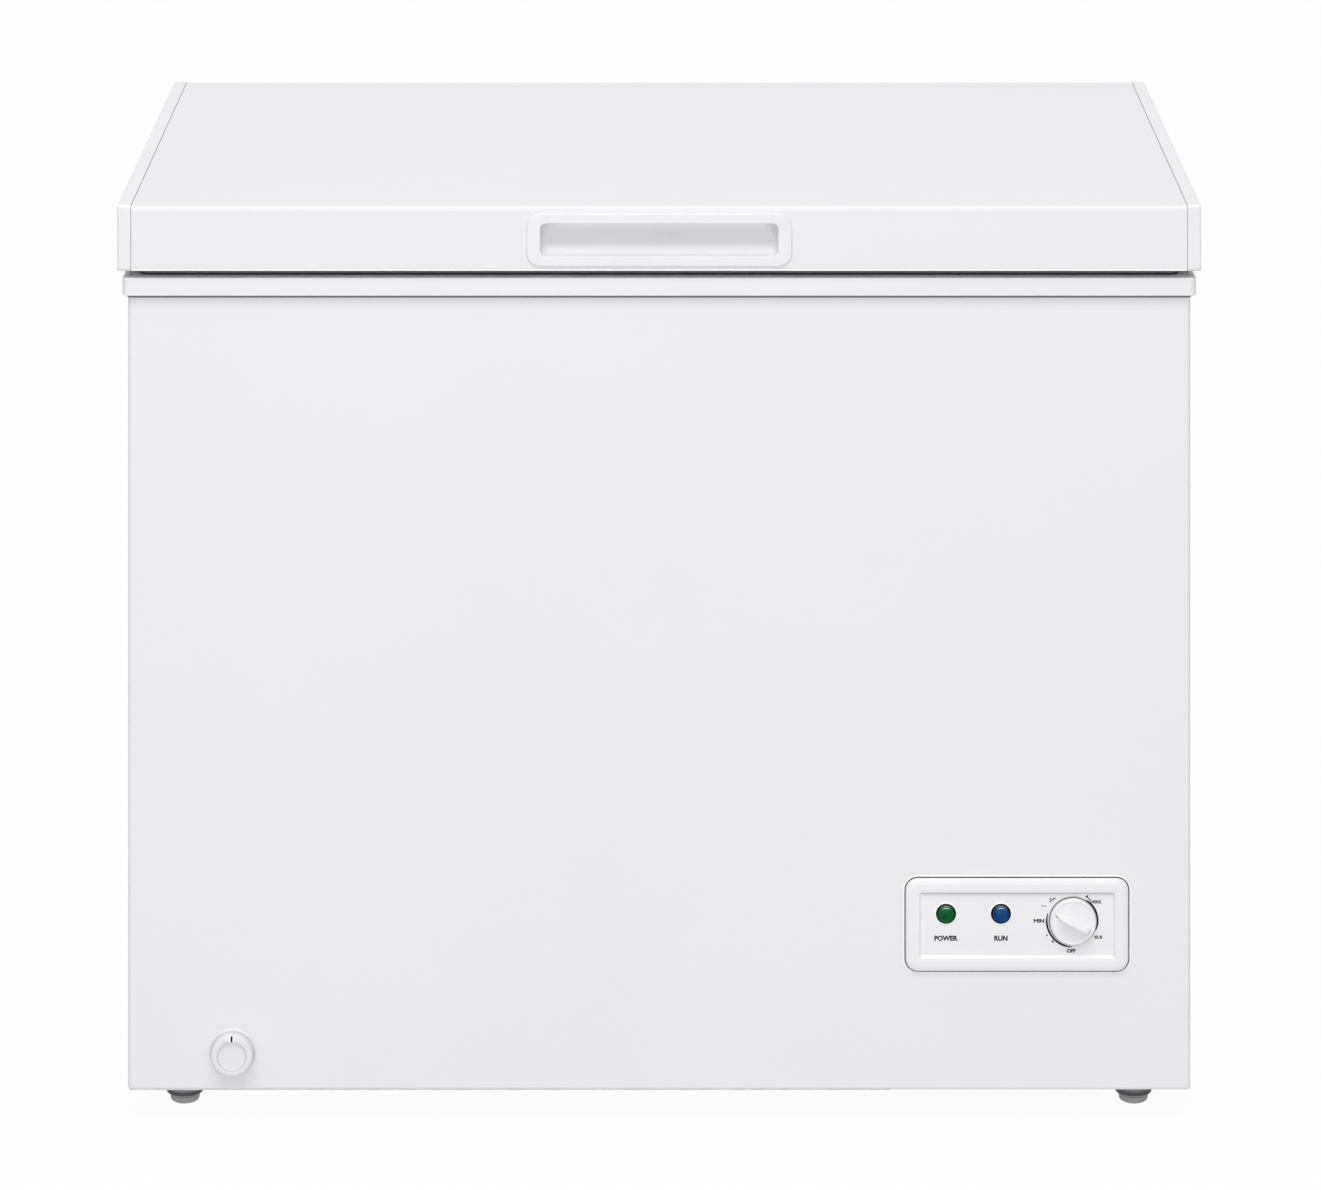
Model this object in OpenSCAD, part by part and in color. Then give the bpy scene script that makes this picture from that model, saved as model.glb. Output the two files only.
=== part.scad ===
// Chest freezer, about 220 litres: cabinet, lid on two sprung hinges, cooling circuit and controls.
// Frame: +X to the right seen from the front, -Y to the front, +Z up, floor at z = 0.

/* [Cabinet] */
// Width of the steel cabinet
cabinet_w = 982; // [960:1:985]
// Depth of the steel cabinet
cabinet_d = 545; // [520:1:580]
// Height of the cabinet's underside above the floor
cabinet_z0 = 30; // [26:1:40]
// Height of the cabinet sheet's top edge above the floor
cabinet_z1 = 765; // [745:1:790]
// Thickness of the steel and liner sheets
sheet_t = 1; // [0.8:0.1:1.5]
// Radius of the cabinet's upright edges
edge_r = 4; // [2:0.5:8]

/* [Collar] */
// Height of the plastic collar round the tub's mouth
collar_h = 17; // [12:1:24]
// How far the collar stands out past the cabinet sheet
collar_out = 5; // [3:0.5:8]

/* [Lid] */
// Width of the lid over its end caps
lid_w = 1000; // [994:1:1010]
// Depth of the lid from front to back
lid_d = 560; // [540:1:590]
// Height of the lid
lid_h = 60; // [50:1:75]
// Gap between collar and lid that the gasket fills
gasket_gap = 8; // [6:0.5:12]
// Width of each plastic end cap
cap_w = 13; // [10:1:18]
// How far the lid stands out in front of the cabinet
lid_front_out = 9; // [6:0.5:11]

/* [Insulation] */
// Insulation thickness at the two ends
end_wall = 61; // [50:1:70]
// Insulation thickness at front and back
long_wall = 59; // [50:1:70]
// Insulation thickness under the tub
floor_wall = 69; // [60:1:80]
// Radius of the tub's upright corners
tub_r = 20; // [10:1:30]

/* [Compressor bay] */
// Width of the bay inside the right-hand end
bay_w = 276; // [270:1:290]
// Height of the bay above the cabinet's underside
bay_h = 256; // [250:1:270]
// Height of the tub's step over the bay
step_z = 350; // [345:1:370]

/* [Lid handle] */
// Width of the handle bezel
handle_w = 245; // [200:1:280]
// Height of the handle bezel
handle_h = 49; // [40:1:52]
// Width of the finger recess
recess_w = 219; // [180:1:240]
// Height of the finger recess
recess_h = 30; // [24:1:36]
// Depth of the finger recess behind the lid's face
recess_deep = 22; // [16:1:28]

/* [Control panel] */
// Width of the control bezel
panel_w = 206; // [190:1:220]
// Height of the control bezel
panel_h = 86; // [76:1:92]
// Height of the bezel's rim above the cabinet face
panel_rim = 4; // [3:0.5:6]
// Diameter of the temperature knob
knob_d = 46; // [40:1:50]
// Direction of the knob's pointer at rest, anticlockwise from the right
knob_pointer = 150; // [90:5:180]

/* [Drain] */
// Diameter of the drain's front flange
drain_flange_d = 43; // [38:1:48]
// Diameter of the drain cap
drain_cap_d = 39; // [34:1:42]
// Height of the drain's axis above the floor
drain_z = 66; // [62:1:70]

/* [Feet] */
// Diameter of a foot's barrel
foot_d = 27; // [24:1:32]
// Diameter of a foot's flange
foot_flange_d = 34; // [30:1:40]
// Distance of each foot's axis from the cabinet's centre line
foot_x = 443; // [430:1:450]
// Distance of each foot's axis from the front or back
foot_inset = 55; // [45:1:80]

/* [Hinges] */
// Distance of each hinge from the centre line
hinge_x = 330; // [280:1:380]
// Distance of the hinge pins behind the cabinet
pin_back = 14; // [13:0.5:16]
// Diameter of a hinge pin
pin_d = 6; // [5:0.5:7]

/* [Basket] */
// Length of the basket along the tub
basket_w = 250; // [200:10:300]
// Depth of the basket below its hanging rails
basket_h = 190; // [150:10:220]

/* [Hidden] */
$fn = 64;
front_reach = 15;
rear_reach = 22;
front_y = -(front_reach + cabinet_d + rear_reach) / 2 + front_reach;
back_y = front_y + cabinet_d;
half_w = cabinet_w / 2;
mid_y = (front_y + back_y) / 2;
in_x = half_w - sheet_t;
in_y0 = front_y + sheet_t;
in_y1 = back_y - sheet_t;
in_z0 = cabinet_z0 + sheet_t;

// Tub: its inner faces, its floor and the ledge that the basket's rails hang on
tub_x = in_x - end_wall;
tub_y0 = in_y0 + long_wall;
tub_y1 = in_y1 - long_wall;
tub_z = in_z0 + floor_wall;
ledge_z = cabinet_z1 - 23;
ledge_w = 8;

// Compressor bay: its inner faces, and the tub's lower right-hand wall
bay_x = in_x - bay_w + sheet_t;
bay_z = in_z0 + bay_h - 2 * sheet_t;
step_x = bay_x - 55;

// Lid levels and faces
collar_z1 = cabinet_z1 + collar_h;
lid_z0 = collar_z1 + gasket_gap;
lid_z1 = lid_z0 + lid_h;
lid_y0 = front_y - lid_front_out;
lid_y1 = lid_y0 + lid_d;
shell_x = lid_w / 2 - cap_w;
bend_r = 5;
plug_drop = 20;
plug_in = 25;
panel_t = 1.5;

// Handle, control panel, drain and hinge places
handle_z = lid_z0 + 28;
handle_out = 2;
panel_x = 330.5;
panel_z = 183.6;
panel_face = front_y - 1.5;
lens_x = [264.9, 315.6];
lens_z = 193.9;
knob_x = 382;
knob_z = 187.3;
knob_front = front_y - front_reach;
shaft_r = 3;
drain_x = -394;
drain_y = tub_y0 + 36;
pipe_r = 11;
pin_y = back_y + pin_back;
pin_z = collar_z1 + gasket_gap / 2;
ear_r = 7;
run_fit = 0.05;

// Refrigerant tubes: radii, and the clear space of their channels in the foam
evap_r = 4;
cond_r = 2.5;
channel = 1.4;
tube_bend = 5;
evap_x = tub_x + sheet_t + evap_r + channel;
evap_step_x = step_x + sheet_t + evap_r + channel;
evap_y0 = tub_y0 - sheet_t - evap_r - channel;
evap_y1 = tub_y1 + sheet_t + evap_r + channel;
evap_low = [120, 170, 220, 270];
evap_low_rise = 50;
evap_high = [390, 440, 490, 540, 590, 640];
evap_high_rise = 50;
evap_link_x = 100;
suction_x = 300;
suction_y = evap_y1 + 12;
cond_x = in_x - cond_r - channel;
cond_y0 = in_y0 + cond_r + channel;
cond_y1 = in_y1 - cond_r - channel;
cond_z = [95, 210, 325, 440, 555, 670];
cond_right = 150;
cond_down = 185;

// Compressor place
comp_x = 362;
comp_y = back_y - 135;
plate_z = in_z0 + 20;
comp_foot_z = plate_z + 15;
comp_r = 74;
stud_top = 60;
comp_bolts = [for (sx = [-1, 1], sy = [-1, 1]) [sx * 88, sy * 52]];
gland_x = 452;
gland_z = 84;
gland_r = 4.2;

// Basket: its ends, its sides, its hanging rails and its two grips
basket_x0 = -tub_x + 22;
basket_x1 = basket_x0 + basket_w;
basket_mid = (basket_x0 + basket_x1) / 2;
basket_y = [tub_y0 + 8, tub_y1 - 8];
rail_z = ledge_z + 3.2;
grip_z = rail_z + 15;
grip_reach = 55;

// Colours
white = [0.93, 0.93, 0.94];
off_white = [0.9, 0.9, 0.91];
galvanised = [0.7, 0.72, 0.73];
foam_colour = [0.93, 0.86, 0.62];
copper = [0.76, 0.45, 0.3];

// ---- Shared shapes ----

// Box between two opposite corners
module span(lo, hi) {
    translate(lo) cube(hi - lo);
}

// Flat rectangle with round corners, centred on the origin
module round_rect(w, h, r) {
    square([w - 2 * r, h], center = true);
    square([w, h - 2 * r], center = true);
    for (x = [-1, 1], y = [-1, 1])
        translate([x * (w / 2 - r), y * (h / 2 - r)]) circle(r);
}

// Upright block with round vertical edges between two opposite corners
module round_block(lo, hi, r) {
    translate([(lo.x + hi.x) / 2, (lo.y + hi.y) / 2, lo.z])
        linear_extrude(hi.z - lo.z) round_rect(hi.x - lo.x, hi.y - lo.y, r);
}

// Plate facing the front, centred on x and z, with round corners, from y0 back to y1
module front_plate(x, z, w, h, r, y0, y1) {
    translate([x, y1, z]) rotate([90, 0, 0]) linear_extrude(y1 - y0) round_rect(w, h, r);
}

// Round bar along Y at x, z, from y0 to y1
module bar_y(x, z, r, y0, y1) {
    translate([x, y0, z]) rotate([-90, 0, 0]) cylinder(r = r, h = y1 - y0);
}

// Round bar along X at y, z, from x0 to x1
module bar_x(y, z, r, x0, x1) {
    translate([x0, y, z]) rotate([0, 90, 0]) cylinder(r = r, h = x1 - x0);
}

// Straight wire along one axis between two points, as a square bar of half width r
module wire(a, b, r) {
    span(a - [r, r, r], b + [r, r, r]);
}

function unit(v) = v / norm(v);
function bend(a, b, c, t) = (1 - t) * (1 - t) * a + 2 * t * (1 - t) * b + t * t * c;

// Route with each inner corner rounded off, r from the corner, in n steps
function rounded(p, r, n = 3) = [
    p[0],
    for (i = [1:len(p) - 2]) let (a = unit(p[i - 1] - p[i]), b = unit(p[i + 1] - p[i]))
        for (k = [0:n]) bend(p[i] + r * a, p[i], p[i] + r * b, k / n),
    p[len(p) - 1]
];
function tangent(p, i) = unit(p[min(i + 1, len(p) - 1)] - p[max(i - 1, 0)]);
function first_side(t) = abs(t.z) < 0.8 ? [0, 0, 1] : [1, 0, 0];
function sides(p, s, i = 0) = i == len(p) ? [] :
    let (t = tangent(p, i), m = unit(s - (s * t) * t)) concat([m], sides(p, m, i + 1));

// Round tube swept along a route
module tube(p, r, s = 8) {
    n = len(p);
    side = sides(p, first_side(tangent(p, 0)));
    rings = [
        for (i = [0:n - 1]) let (t = tangent(p, i), b = cross(t, side[i]))
            for (k = [0:s - 1]) p[i] + r * (cos(360 * k / s) * side[i] + sin(360 * k / s) * b)
    ];
    walls = [
        for (i = [0:n - 2], k = [0:s - 1]) let (q = (k + 1) % s)
            [i * s + k, (i + 1) * s + k, (i + 1) * s + q, i * s + q]
    ];
    polyhedron(rings, concat(walls, [[for (k = [0:s - 1]) k]],
        [[for (k = [s - 1:-1:0]) (n - 1) * s + k]]));
}

// ---- Cabinet ----

// Outside of the tub, grown by g, with its step over the bay
module tub_block(g) {
    z1 = ledge_z + 0.01;
    round_block([-tub_x - g, tub_y0 - g, tub_z - g], [step_x + g, tub_y1 + g, z1], tub_r);
    round_block([-tub_x - g, tub_y0 - g, step_z - g], [tub_x + g, tub_y1 + g, z1], tub_r);
}

// Wider mouth of the tub above the ledge, grown by g
module mouth_block(g, z1) {
    round_block([-tub_x - g, tub_y0 - ledge_w - g, ledge_z - g],
        [tub_x + g, tub_y1 + ledge_w + g, z1], tub_r);
}

module outer_wrap() {
    return_w = 20;
    slot_w = 90;
    color(white) difference() {
        round_block([-half_w, front_y, cabinet_z0], [half_w, back_y, cabinet_z1], edge_r);
        round_block([-in_x, in_y0, cabinet_z0 - 1], [in_x, in_y1, cabinet_z1 + 1], edge_r - sheet_t);
        span([-half_w + return_w, back_y - 5, cabinet_z0 - 1], [half_w - return_w, back_y + 5, cabinet_z1 + 1]);
        span([panel_x - 94, front_y - 5, panel_z - 34], [panel_x + 94, front_y + 5, panel_z + 34]);
        bar_y(drain_x, drain_z, 14.5, front_y - 5, front_y + 5);
        for (col = [0, 1], row = [0:8])
            translate([half_w, mid_y + 70 + col * 110, cabinet_z0 + 70 + row * 16])
                cube([10, slot_w, 6], center = true);
    }
}

module back_panel() {
    color(galvanised) difference() {
        span([-half_w + 20, in_y1, cabinet_z0], [half_w - 20, back_y, cabinet_z1]);
        span([bay_x + 26, in_y1 - 5, 62], [416, back_y + 5, 264]);
        bar_y(gland_x, gland_z, 8, in_y1 - 5, back_y + 5);
    }
}

module bottom_pan() {
    color(galvanised) difference() {
        intersection() {
            round_block([-in_x, in_y0, cabinet_z0], [in_x, in_y1, in_z0], edge_r - sheet_t);
            span([-in_x, in_y0, cabinet_z0], [bay_x - sheet_t, in_y1, in_z0]);
        }
        for (y = [front_y + foot_inset, back_y - foot_inset])
            translate([-foot_x, y, cabinet_z0 - 1]) cylinder(r = 5, h = 5);
    }
}

module inner_liner() {
    color(off_white) difference() {
        union() {
            tub_block(sheet_t);
            mouth_block(sheet_t, cabinet_z1);
        }
        tub_block(0);
        mouth_block(0, cabinet_z1 + 1);
        translate([drain_x, drain_y, tub_z - 5]) cylinder(r = pipe_r + 0.2, h = 10);
    }
}

// Clear channels in the foam for the evaporator's turns
module evaporator_channels() {
    g = evap_r + channel;
    for (z = concat([for (z = evap_low) [z, evap_step_x]], [for (z = evap_high) [z, evap_x]]))
        span([-evap_x - g, evap_y0 - g, z[0] - g], [z[1] + g, evap_y1 + g, z[0] + g]);
    low_end = evap_low[3] + evap_low_rise;
    high_end = evap_high[5] + evap_high_rise;
    span([evap_step_x - g, evap_y0 - g, evap_low[0] - g], [evap_step_x + g, evap_y1 + g, low_end + g]);
    span([evap_x - g, evap_y0 - g, evap_high[0] - g], [evap_x + g, evap_y1 + g, high_end + g]);
    span([evap_link_x - g, evap_y1 - g, low_end - g], [evap_step_x + g, evap_y1 + g, low_end + g]);
    span([evap_link_x - g, evap_y1 - g, low_end - g], [evap_link_x + g, evap_y1 + g, evap_high[0] + g]);
    span([suction_x - g, evap_y1 - g, high_end - g], [evap_x + g, evap_y1 + g, high_end + g]);
    span([step_x, evap_y1 - g, evap_low[0] - g], [bay_x, evap_y1 + g, evap_low[0] + g]);
    span([suction_x - g, evap_y1 - g, bay_z], [suction_x + g, suction_y + g, high_end + g]);
}

// Clear channels in the foam for the condenser behind the cabinet sheet
module condenser_channels() {
    g = cond_r + channel;
    for (z = cond_z) {
        span([-cond_x - g, cond_y1 - g, z - g], [cond_right + g, cond_y1 + g, z + g]);
        span([-cond_x - g, cond_y0 - g, z - g], [-cond_x + g, cond_y1 + g, z + g]);
        span([-cond_x - g, cond_y0 - g, z - g], [cond_right + g, cond_y0 + g, z + g]);
    }
    for (i = [0:4]) let (y = i % 2 == 0 ? cond_y0 : cond_y1)
        span([cond_right - g, y - g, cond_z[i] - g], [cond_right + g, y + g, cond_z[i + 1] + g]);
    span([cond_right, cond_y1 - g, cond_z[0] - g], [bay_x, cond_y1 + g, cond_z[0] + g]);
    span([cond_right, cond_y1 - g, cond_z[5] - g], [cond_down + g, cond_y1 + g, cond_z[5] + g]);
    span([cond_down - g, cond_y1 - g, 150 - g], [cond_down + g, cond_y1 + g, cond_z[5] + g]);
    span([cond_down - g, cond_y1 - g, 150 - g], [bay_x, cond_y1 + g, 150 + g]);
}

// Moulded drain fitting, grown by g
module drain_body(g) {
    bar_y(drain_x, drain_z, pipe_r + 3 + g, front_y + 1.2, drain_y + 14);
    translate([drain_x, drain_y, drain_z]) cylinder(r = pipe_r + 3 + g, h = tub_z - sheet_t - drain_z);
}

module foam_insulation() {
    color(foam_colour) difference() {
        round_block([-in_x, in_y0, in_z0], [in_x, in_y1, cabinet_z1 - 0.5], edge_r - sheet_t);
        tub_block(sheet_t);
        mouth_block(sheet_t, cabinet_z1 + 1);
        span([bay_x - sheet_t, in_y0 - 1, in_z0 - 1], [in_x + 1, in_y1 + 1, bay_z + sheet_t]);
        span([-foot_x - 25, in_y0 - 1, in_z0 - 1], [-foot_x + 25, in_y1 + 1, plate_z]);
        for (y = [front_y + foot_inset, back_y - foot_inset])
            translate([-foot_x, y, plate_z - 1]) cylinder(r = 6, h = stud_top - plate_z + 4);
        drain_body(0);
        bar_y(drain_x, drain_z, 14.6, front_y, front_y + 3);
        evaporator_channels();
        condenser_channels();
    }
}

module compressor_bulkhead() {
    color(galvanised) difference() {
        union() {
            span([bay_x - sheet_t, in_y0, in_z0], [bay_x, in_y1, bay_z + sheet_t]);
            intersection() {
                round_block([-in_x, in_y0, bay_z], [in_x, in_y1, bay_z + sheet_t], edge_r - sheet_t);
                span([bay_x - sheet_t, in_y0, bay_z], [in_x, in_y1, bay_z + sheet_t]);
            }
            span([bay_x - sheet_t, comp_y - 70, plate_z - sheet_t], [bay_x + 20, comp_y + 70, plate_z]);
        }
        for (p = [[evap_y1, evap_low[0]], [cond_y1, cond_z[0]], [cond_y1, 150]])
            bar_x(p[0], p[1], 4.6, bay_x - 5, bay_x + 5);
        translate([suction_x, suction_y, bay_z - 5]) cylinder(r = 4.6, h = 10);
    }
}

module top_collar() {
    color(white) difference() {
        round_block([-half_w - collar_out, front_y - collar_out, cabinet_z1],
            [half_w + collar_out, back_y + collar_out, collar_z1], edge_r + 2);
        round_block([-tub_x, tub_y0 - ledge_w, cabinet_z1 - 1],
            [tub_x, tub_y1 + ledge_w, collar_z1 + 1], tub_r);
    }
}

// Channel along one end of the underside that carries two feet
module base_rail(x) {
    color(galvanised) difference() {
        span([x - 25, in_y0, in_z0], [x + 25, in_y1, plate_z]);
        span([x - 23, in_y0 - 1, in_z0 - 1], [x + 23, in_y1 + 1, plate_z - 3]);
        for (y = [front_y + foot_inset, back_y - foot_inset])
            translate([x, y, cabinet_z0]) cylinder(r = 4 + run_fit, h = 30);
    }
}
module base_rail_left() { base_rail(-foot_x); }
module base_rail_right() { base_rail(foot_x); }

function evap_turn(z, rise, x) = [
    [-evap_x, evap_y1, z], [-evap_x, evap_y0, z], [x, evap_y0, z], [x, evap_y1, z + rise]
];

module evaporator_tube() {
    low = [for (z = evap_low) each evap_turn(z, evap_low_rise, evap_step_x)];
    link = [[evap_link_x, evap_y1, evap_low[3] + evap_low_rise], [evap_link_x, evap_y1, evap_high[0]]];
    high = [for (z = evap_high) each evap_turn(z, evap_high_rise, evap_x)];
    top = evap_high[5] + evap_high_rise;
    end = [[suction_x, evap_y1, top], [suction_x, suction_y, top]];
    route = concat([[bay_x + 12, evap_y1, evap_low[0]]], low, link, high, end);
    color("lightgray") tube(rounded(route, tube_bend, 2), evap_r);
}

module condenser_tube() {
    passes = [
        for (i = [0:5]) let (a = i % 2 == 0 ? cond_y1 : cond_y0, b = i % 2 == 0 ? cond_y0 : cond_y1)
            each [if (i > 0) [cond_right, a, cond_z[i]], [-cond_x, a, cond_z[i]], [-cond_x, b, cond_z[i]],
                if (i < 5) [cond_right, b, cond_z[i]]]
    ];
    route = concat([[bay_x + 12, cond_y1, cond_z[0]]], passes,
        [[cond_down, cond_y1, cond_z[5]], [cond_down, cond_y1, 150], [bay_x + 12, cond_y1, 150]]);
    color(copper) tube(rounded(route, tube_bend, 2), cond_r);
}

// ---- Compressor bay ----

module compressor_lower_shell() {
    wall = 3;
    z0 = comp_foot_z + 3;
    color([0.12, 0.12, 0.13]) difference() {
        union() {
            translate([comp_x, comp_y, z0]) cylinder(r1 = comp_r - 12, r2 = comp_r, h = 18);
            translate([comp_x, comp_y, z0 + 18]) cylinder(r = comp_r, h = 57);
            round_block([comp_x - 102, comp_y - 66, comp_foot_z], [comp_x + 102, comp_y + 66, z0], 14);
        }
        translate([comp_x, comp_y, z0 + wall]) cylinder(r1 = comp_r - 15, r2 = comp_r - wall, h = 15);
        translate([comp_x, comp_y, z0 + 17.9]) cylinder(r = comp_r - wall, h = 60);
        for (b = comp_bolts) translate([comp_x + b.x, comp_y + b.y, comp_foot_z - 1]) cylinder(r = 8, h = 6);
    }
}

module compressor_upper_shell() {
    wall = 3;
    z0 = comp_foot_z + 66;
    color([0.12, 0.12, 0.13]) translate([comp_x, comp_y, z0]) rotate_extrude() difference() {
        union() {
            square([comp_r - wall, 60]);
            translate([0, 59]) square([comp_r - 33, 30]);
            translate([comp_r - 33, 59]) circle(30);
        }
        translate([0, -1]) square([comp_r - 2 * wall, 60]);
        translate([0, 58]) square([comp_r - 33, 28]);
        translate([comp_r - 33, 59]) circle(27);
        translate([-100, -1]) square([100, 100]);
    }
}

module compressor_grommets() {
    color([0.08, 0.08, 0.08]) for (b = comp_bolts) translate([comp_x + b.x, comp_y + b.y, plate_z + 3])
        rotate_extrude() {
            translate([3.2, 0]) square([9.8, comp_foot_z - plate_z - 3]);
            translate([3.2, 0]) square([4.7, comp_foot_z - plate_z + 3]);
            translate([3.2, comp_foot_z - plate_z]) square([8.8, 3]);
        }
}

module compressor_nuts() {
    color("silver") for (b = comp_bolts) translate([comp_x + b.x, comp_y + b.y, 0]) {
        translate([0, 0, comp_foot_z + 6]) difference() {
            cylinder(r = 6, h = 6, $fn = 6);
            translate([0, 0, -1]) cylinder(r = 3, h = 8);
        }
    }
}

module compressor_base_plate() {
    color(galvanised) {
        span([bay_x + 0.5, comp_y - 74, plate_z], [in_x - 0.5, comp_y + 74, plate_z + 3]);
        for (b = comp_bolts) translate([comp_x + b.x, comp_y + b.y, plate_z + 2.9])
            cylinder(r = 3, h = comp_foot_z - plate_z + 12);
    }
}

module terminal_cover() {
    x1 = comp_x - comp_r - 0.5;
    color([0.15, 0.15, 0.16]) difference() {
        span([x1 - 32, comp_y - 28, 115], [x1, comp_y + 28, 170]);
        span([x1 - 30, comp_y - 26, 117], [x1 + 1, comp_y + 26, 168]);
    }
}

module start_relay() {
    x1 = comp_x - comp_r - 3;
    color([0.85, 0.85, 0.8]) {
        span([x1 - 22, comp_y - 18, 122], [x1, comp_y + 18, 148]);
        bar_x(comp_y, 157, 8, x1 - 12, x1);
    }
}

module filter_drier() {
    color(copper) translate([bay_x + 22, back_y - 40, 0]) {
        translate([0, 0, 110]) cylinder(r1 = 3, r2 = 9, h = 12);
        translate([0, 0, 122]) cylinder(r = 9, h = 78);
        translate([0, 0, 200]) cylinder(r1 = 9, r2 = 3, h = 12);
    }
}

module suction_line() {
    top = evap_high[5] + evap_high_rise - evap_r - channel;
    color(copper) tube(rounded([
        [suction_x, suction_y, top], [suction_x, suction_y, 255],
        [suction_x + 10, comp_y + 82, 245], [comp_x - 30, comp_y + 82, 240], [comp_x - 30, comp_y + 82, 170],
        [comp_x - 30, comp_y + 66, 170]
    ], 5, 3), 3.2);
}

module discharge_line() {
    color(copper) tube(rounded([
        [comp_x + 30, comp_y + 66, 170], [comp_x + 30, comp_y + 90, 170], [comp_x + 30, comp_y + 90, 78],
        [bay_x + 14, comp_y + 90, 78], [bay_x + 14, cond_y1 - 1, 78], [bay_x + 14, cond_y1 - 1, 91]
    ], 8, 3), cond_r);
}

module capillary_tube() {
    x = bay_x + 22;
    color(copper) {
        tube(rounded([
            [bay_x + 13, cond_y1, 150], [bay_x + 22, cond_y1, 150], [x, cond_y1, 222],
            [x, back_y - 40, 222], [x, back_y - 40, 212.2]
        ], 6, 3), 1.5, 6);
        tube(rounded([
            [x, back_y - 40, 109.8], [x, back_y - 40, 100], [x + 8, back_y - 60, 100],
            [x, evap_y1 - 20, 108], [x, evap_y1, 120], [bay_x + 13, evap_y1, 120]
        ], 5, 3), 1, 6);
    }
}

module rear_grille() {
    x0 = bay_x + 12;
    x1 = 430;
    color([0.18, 0.18, 0.19]) difference() {
        union() {
            span([x0, back_y, 50], [x1, back_y + 2, 276]);
            for (row = [0:9], col = [0, 1]) let (x = x0 + 16 + col * 94)
                span([x, back_y + 1, 73 + row * 19], [x + 80, back_y + 8, 75 + row * 19]);
        }
        for (row = [0:9], col = [0, 1]) let (x = x0 + 16 + col * 94)
            span([x, back_y - 1, 65 + row * 19], [x + 80, back_y + 5, 73 + row * 19]);
        for (x = [x0 + 7, x1 - 7], z = [57, 163, 269]) bar_y(x, z, 2.2, back_y - 1, back_y + 5);
    }
}

module grille_screws() {
    color("silver") for (x = [bay_x + 19, 423], z = [57, 163, 269]) {
        bar_y(x, z, 2, back_y, back_y + 2.2);
        bar_y(x, z, 4, back_y + 2, back_y + 4);
    }
}

module cord_gland() {
    color([0.1, 0.1, 0.1]) difference() {
        union() {
            bar_y(gland_x, gland_z, 7.9, in_y1 - 6, back_y + 1);
            bar_y(gland_x, gland_z, 11, back_y, back_y + 4);
            bar_y(gland_x, gland_z, 8, back_y + 3, back_y + 14);
            bar_y(gland_x, gland_z, 10, in_y1 - 6, in_y1);
        }
        bar_y(gland_x, gland_z, gland_r, in_y1 - 10, back_y + 20);
    }
}

module wiring_harness() {
    color([0.3, 0.3, 0.32]) {
        tube(rounded([
            [gland_x, in_y1 - 7, gland_z], [gland_x, back_y - 30, gland_z], [466, back_y - 60, gland_z],
            [466, -60, gland_z + 10], [300, -60, 90], [260, comp_y - 60, 95], [262, comp_y - 20, 112]
        ], 12, 2), 2.5, 6);
        tube(rounded([
            [300, -60, 90], [340, -120, 100], [340, front_y + 80, 130], [340, front_y + 63, 150]
        ], 12, 2), 2.5, 6);
    }
}

// ---- Controls ----

module control_panel() {
    rim = 14;
    color(white) difference() {
        union() {
            front_plate(panel_x, panel_z, panel_w, panel_h, 11.5, front_y - panel_rim, front_y);
            front_plate(panel_x, panel_z, 186, 66, 3, front_y - 1, front_y + 7);
        }
        front_plate(panel_x, panel_z, panel_w - 2 * rim, panel_h - 22, 5, front_y - 6, panel_face);
        front_plate(panel_x, panel_z, 182, 62, 2, front_y + 1, front_y + 10);
        for (x = lens_x) bar_y(x, lens_z, 7.5, front_y - 6, front_y + 5);
        bar_y(knob_x, knob_z, 6, front_y - 6, front_y + 5);
    }
}

module control_box() {
    y0 = front_y + 7.2;
    y1 = front_y + 62;
    color([0.75, 0.75, 0.76]) difference() {
        span([panel_x - 92, y0, panel_z - 32], [panel_x + 92, y1, panel_z + 32]);
        span([panel_x - 90, y0 - 1, panel_z - 30], [panel_x + 90, y1 - 2, panel_z + 30]);
        bar_y(340, 156, 4, y1 - 5, y1 + 5);
    }
}

// Domed indicator lens with a dark ring behind its flange
module lens(x, tint) {
    color(tint) translate([x, panel_face, lens_z]) rotate([90, 0, 0]) rotate_extrude() {
        translate([0, -9]) square([7.4, 9]);
        square([9, 1]);
        intersection() {
            translate([0, -9.5]) circle(12);
            square([7.3, 10]);
        }
    }
}
module power_lens() { lens(lens_x[0], [0.02, 0.35, 0.12]); }
module run_lens() { lens(lens_x[1], [0.02, 0.12, 0.5]); }

module indicator_lamps() {
    color([0.9, 0.9, 0.85]) for (x = lens_x) {
        bar_y(x, lens_z, 2.5, panel_face + 10, panel_face + 20);
        bar_y(x, lens_z, 6, panel_face + 19, panel_face + 40);
    }
}

module thermostat_body() {
    y0 = front_y + 10;
    color("silver") difference() {
        union() {
            span([knob_x - 18, y0 + 6, knob_z - 20], [knob_x + 18, y0 + 40, knob_z + 20]);
            bar_y(knob_x, knob_z, 5, y0 - 6, y0 + 7);
            bar_x(front_y + 38, knob_z - 12, 3, knob_x - 40, knob_x - 17);
        }
        bar_y(knob_x, knob_z, shaft_r + run_fit, y0 - 10, y0 + 30);
    }
}

module thermostat_shaft() {
    color("silver") bar_y(knob_x, knob_z, shaft_r, knob_front + 3, front_y + 38);
}

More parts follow.
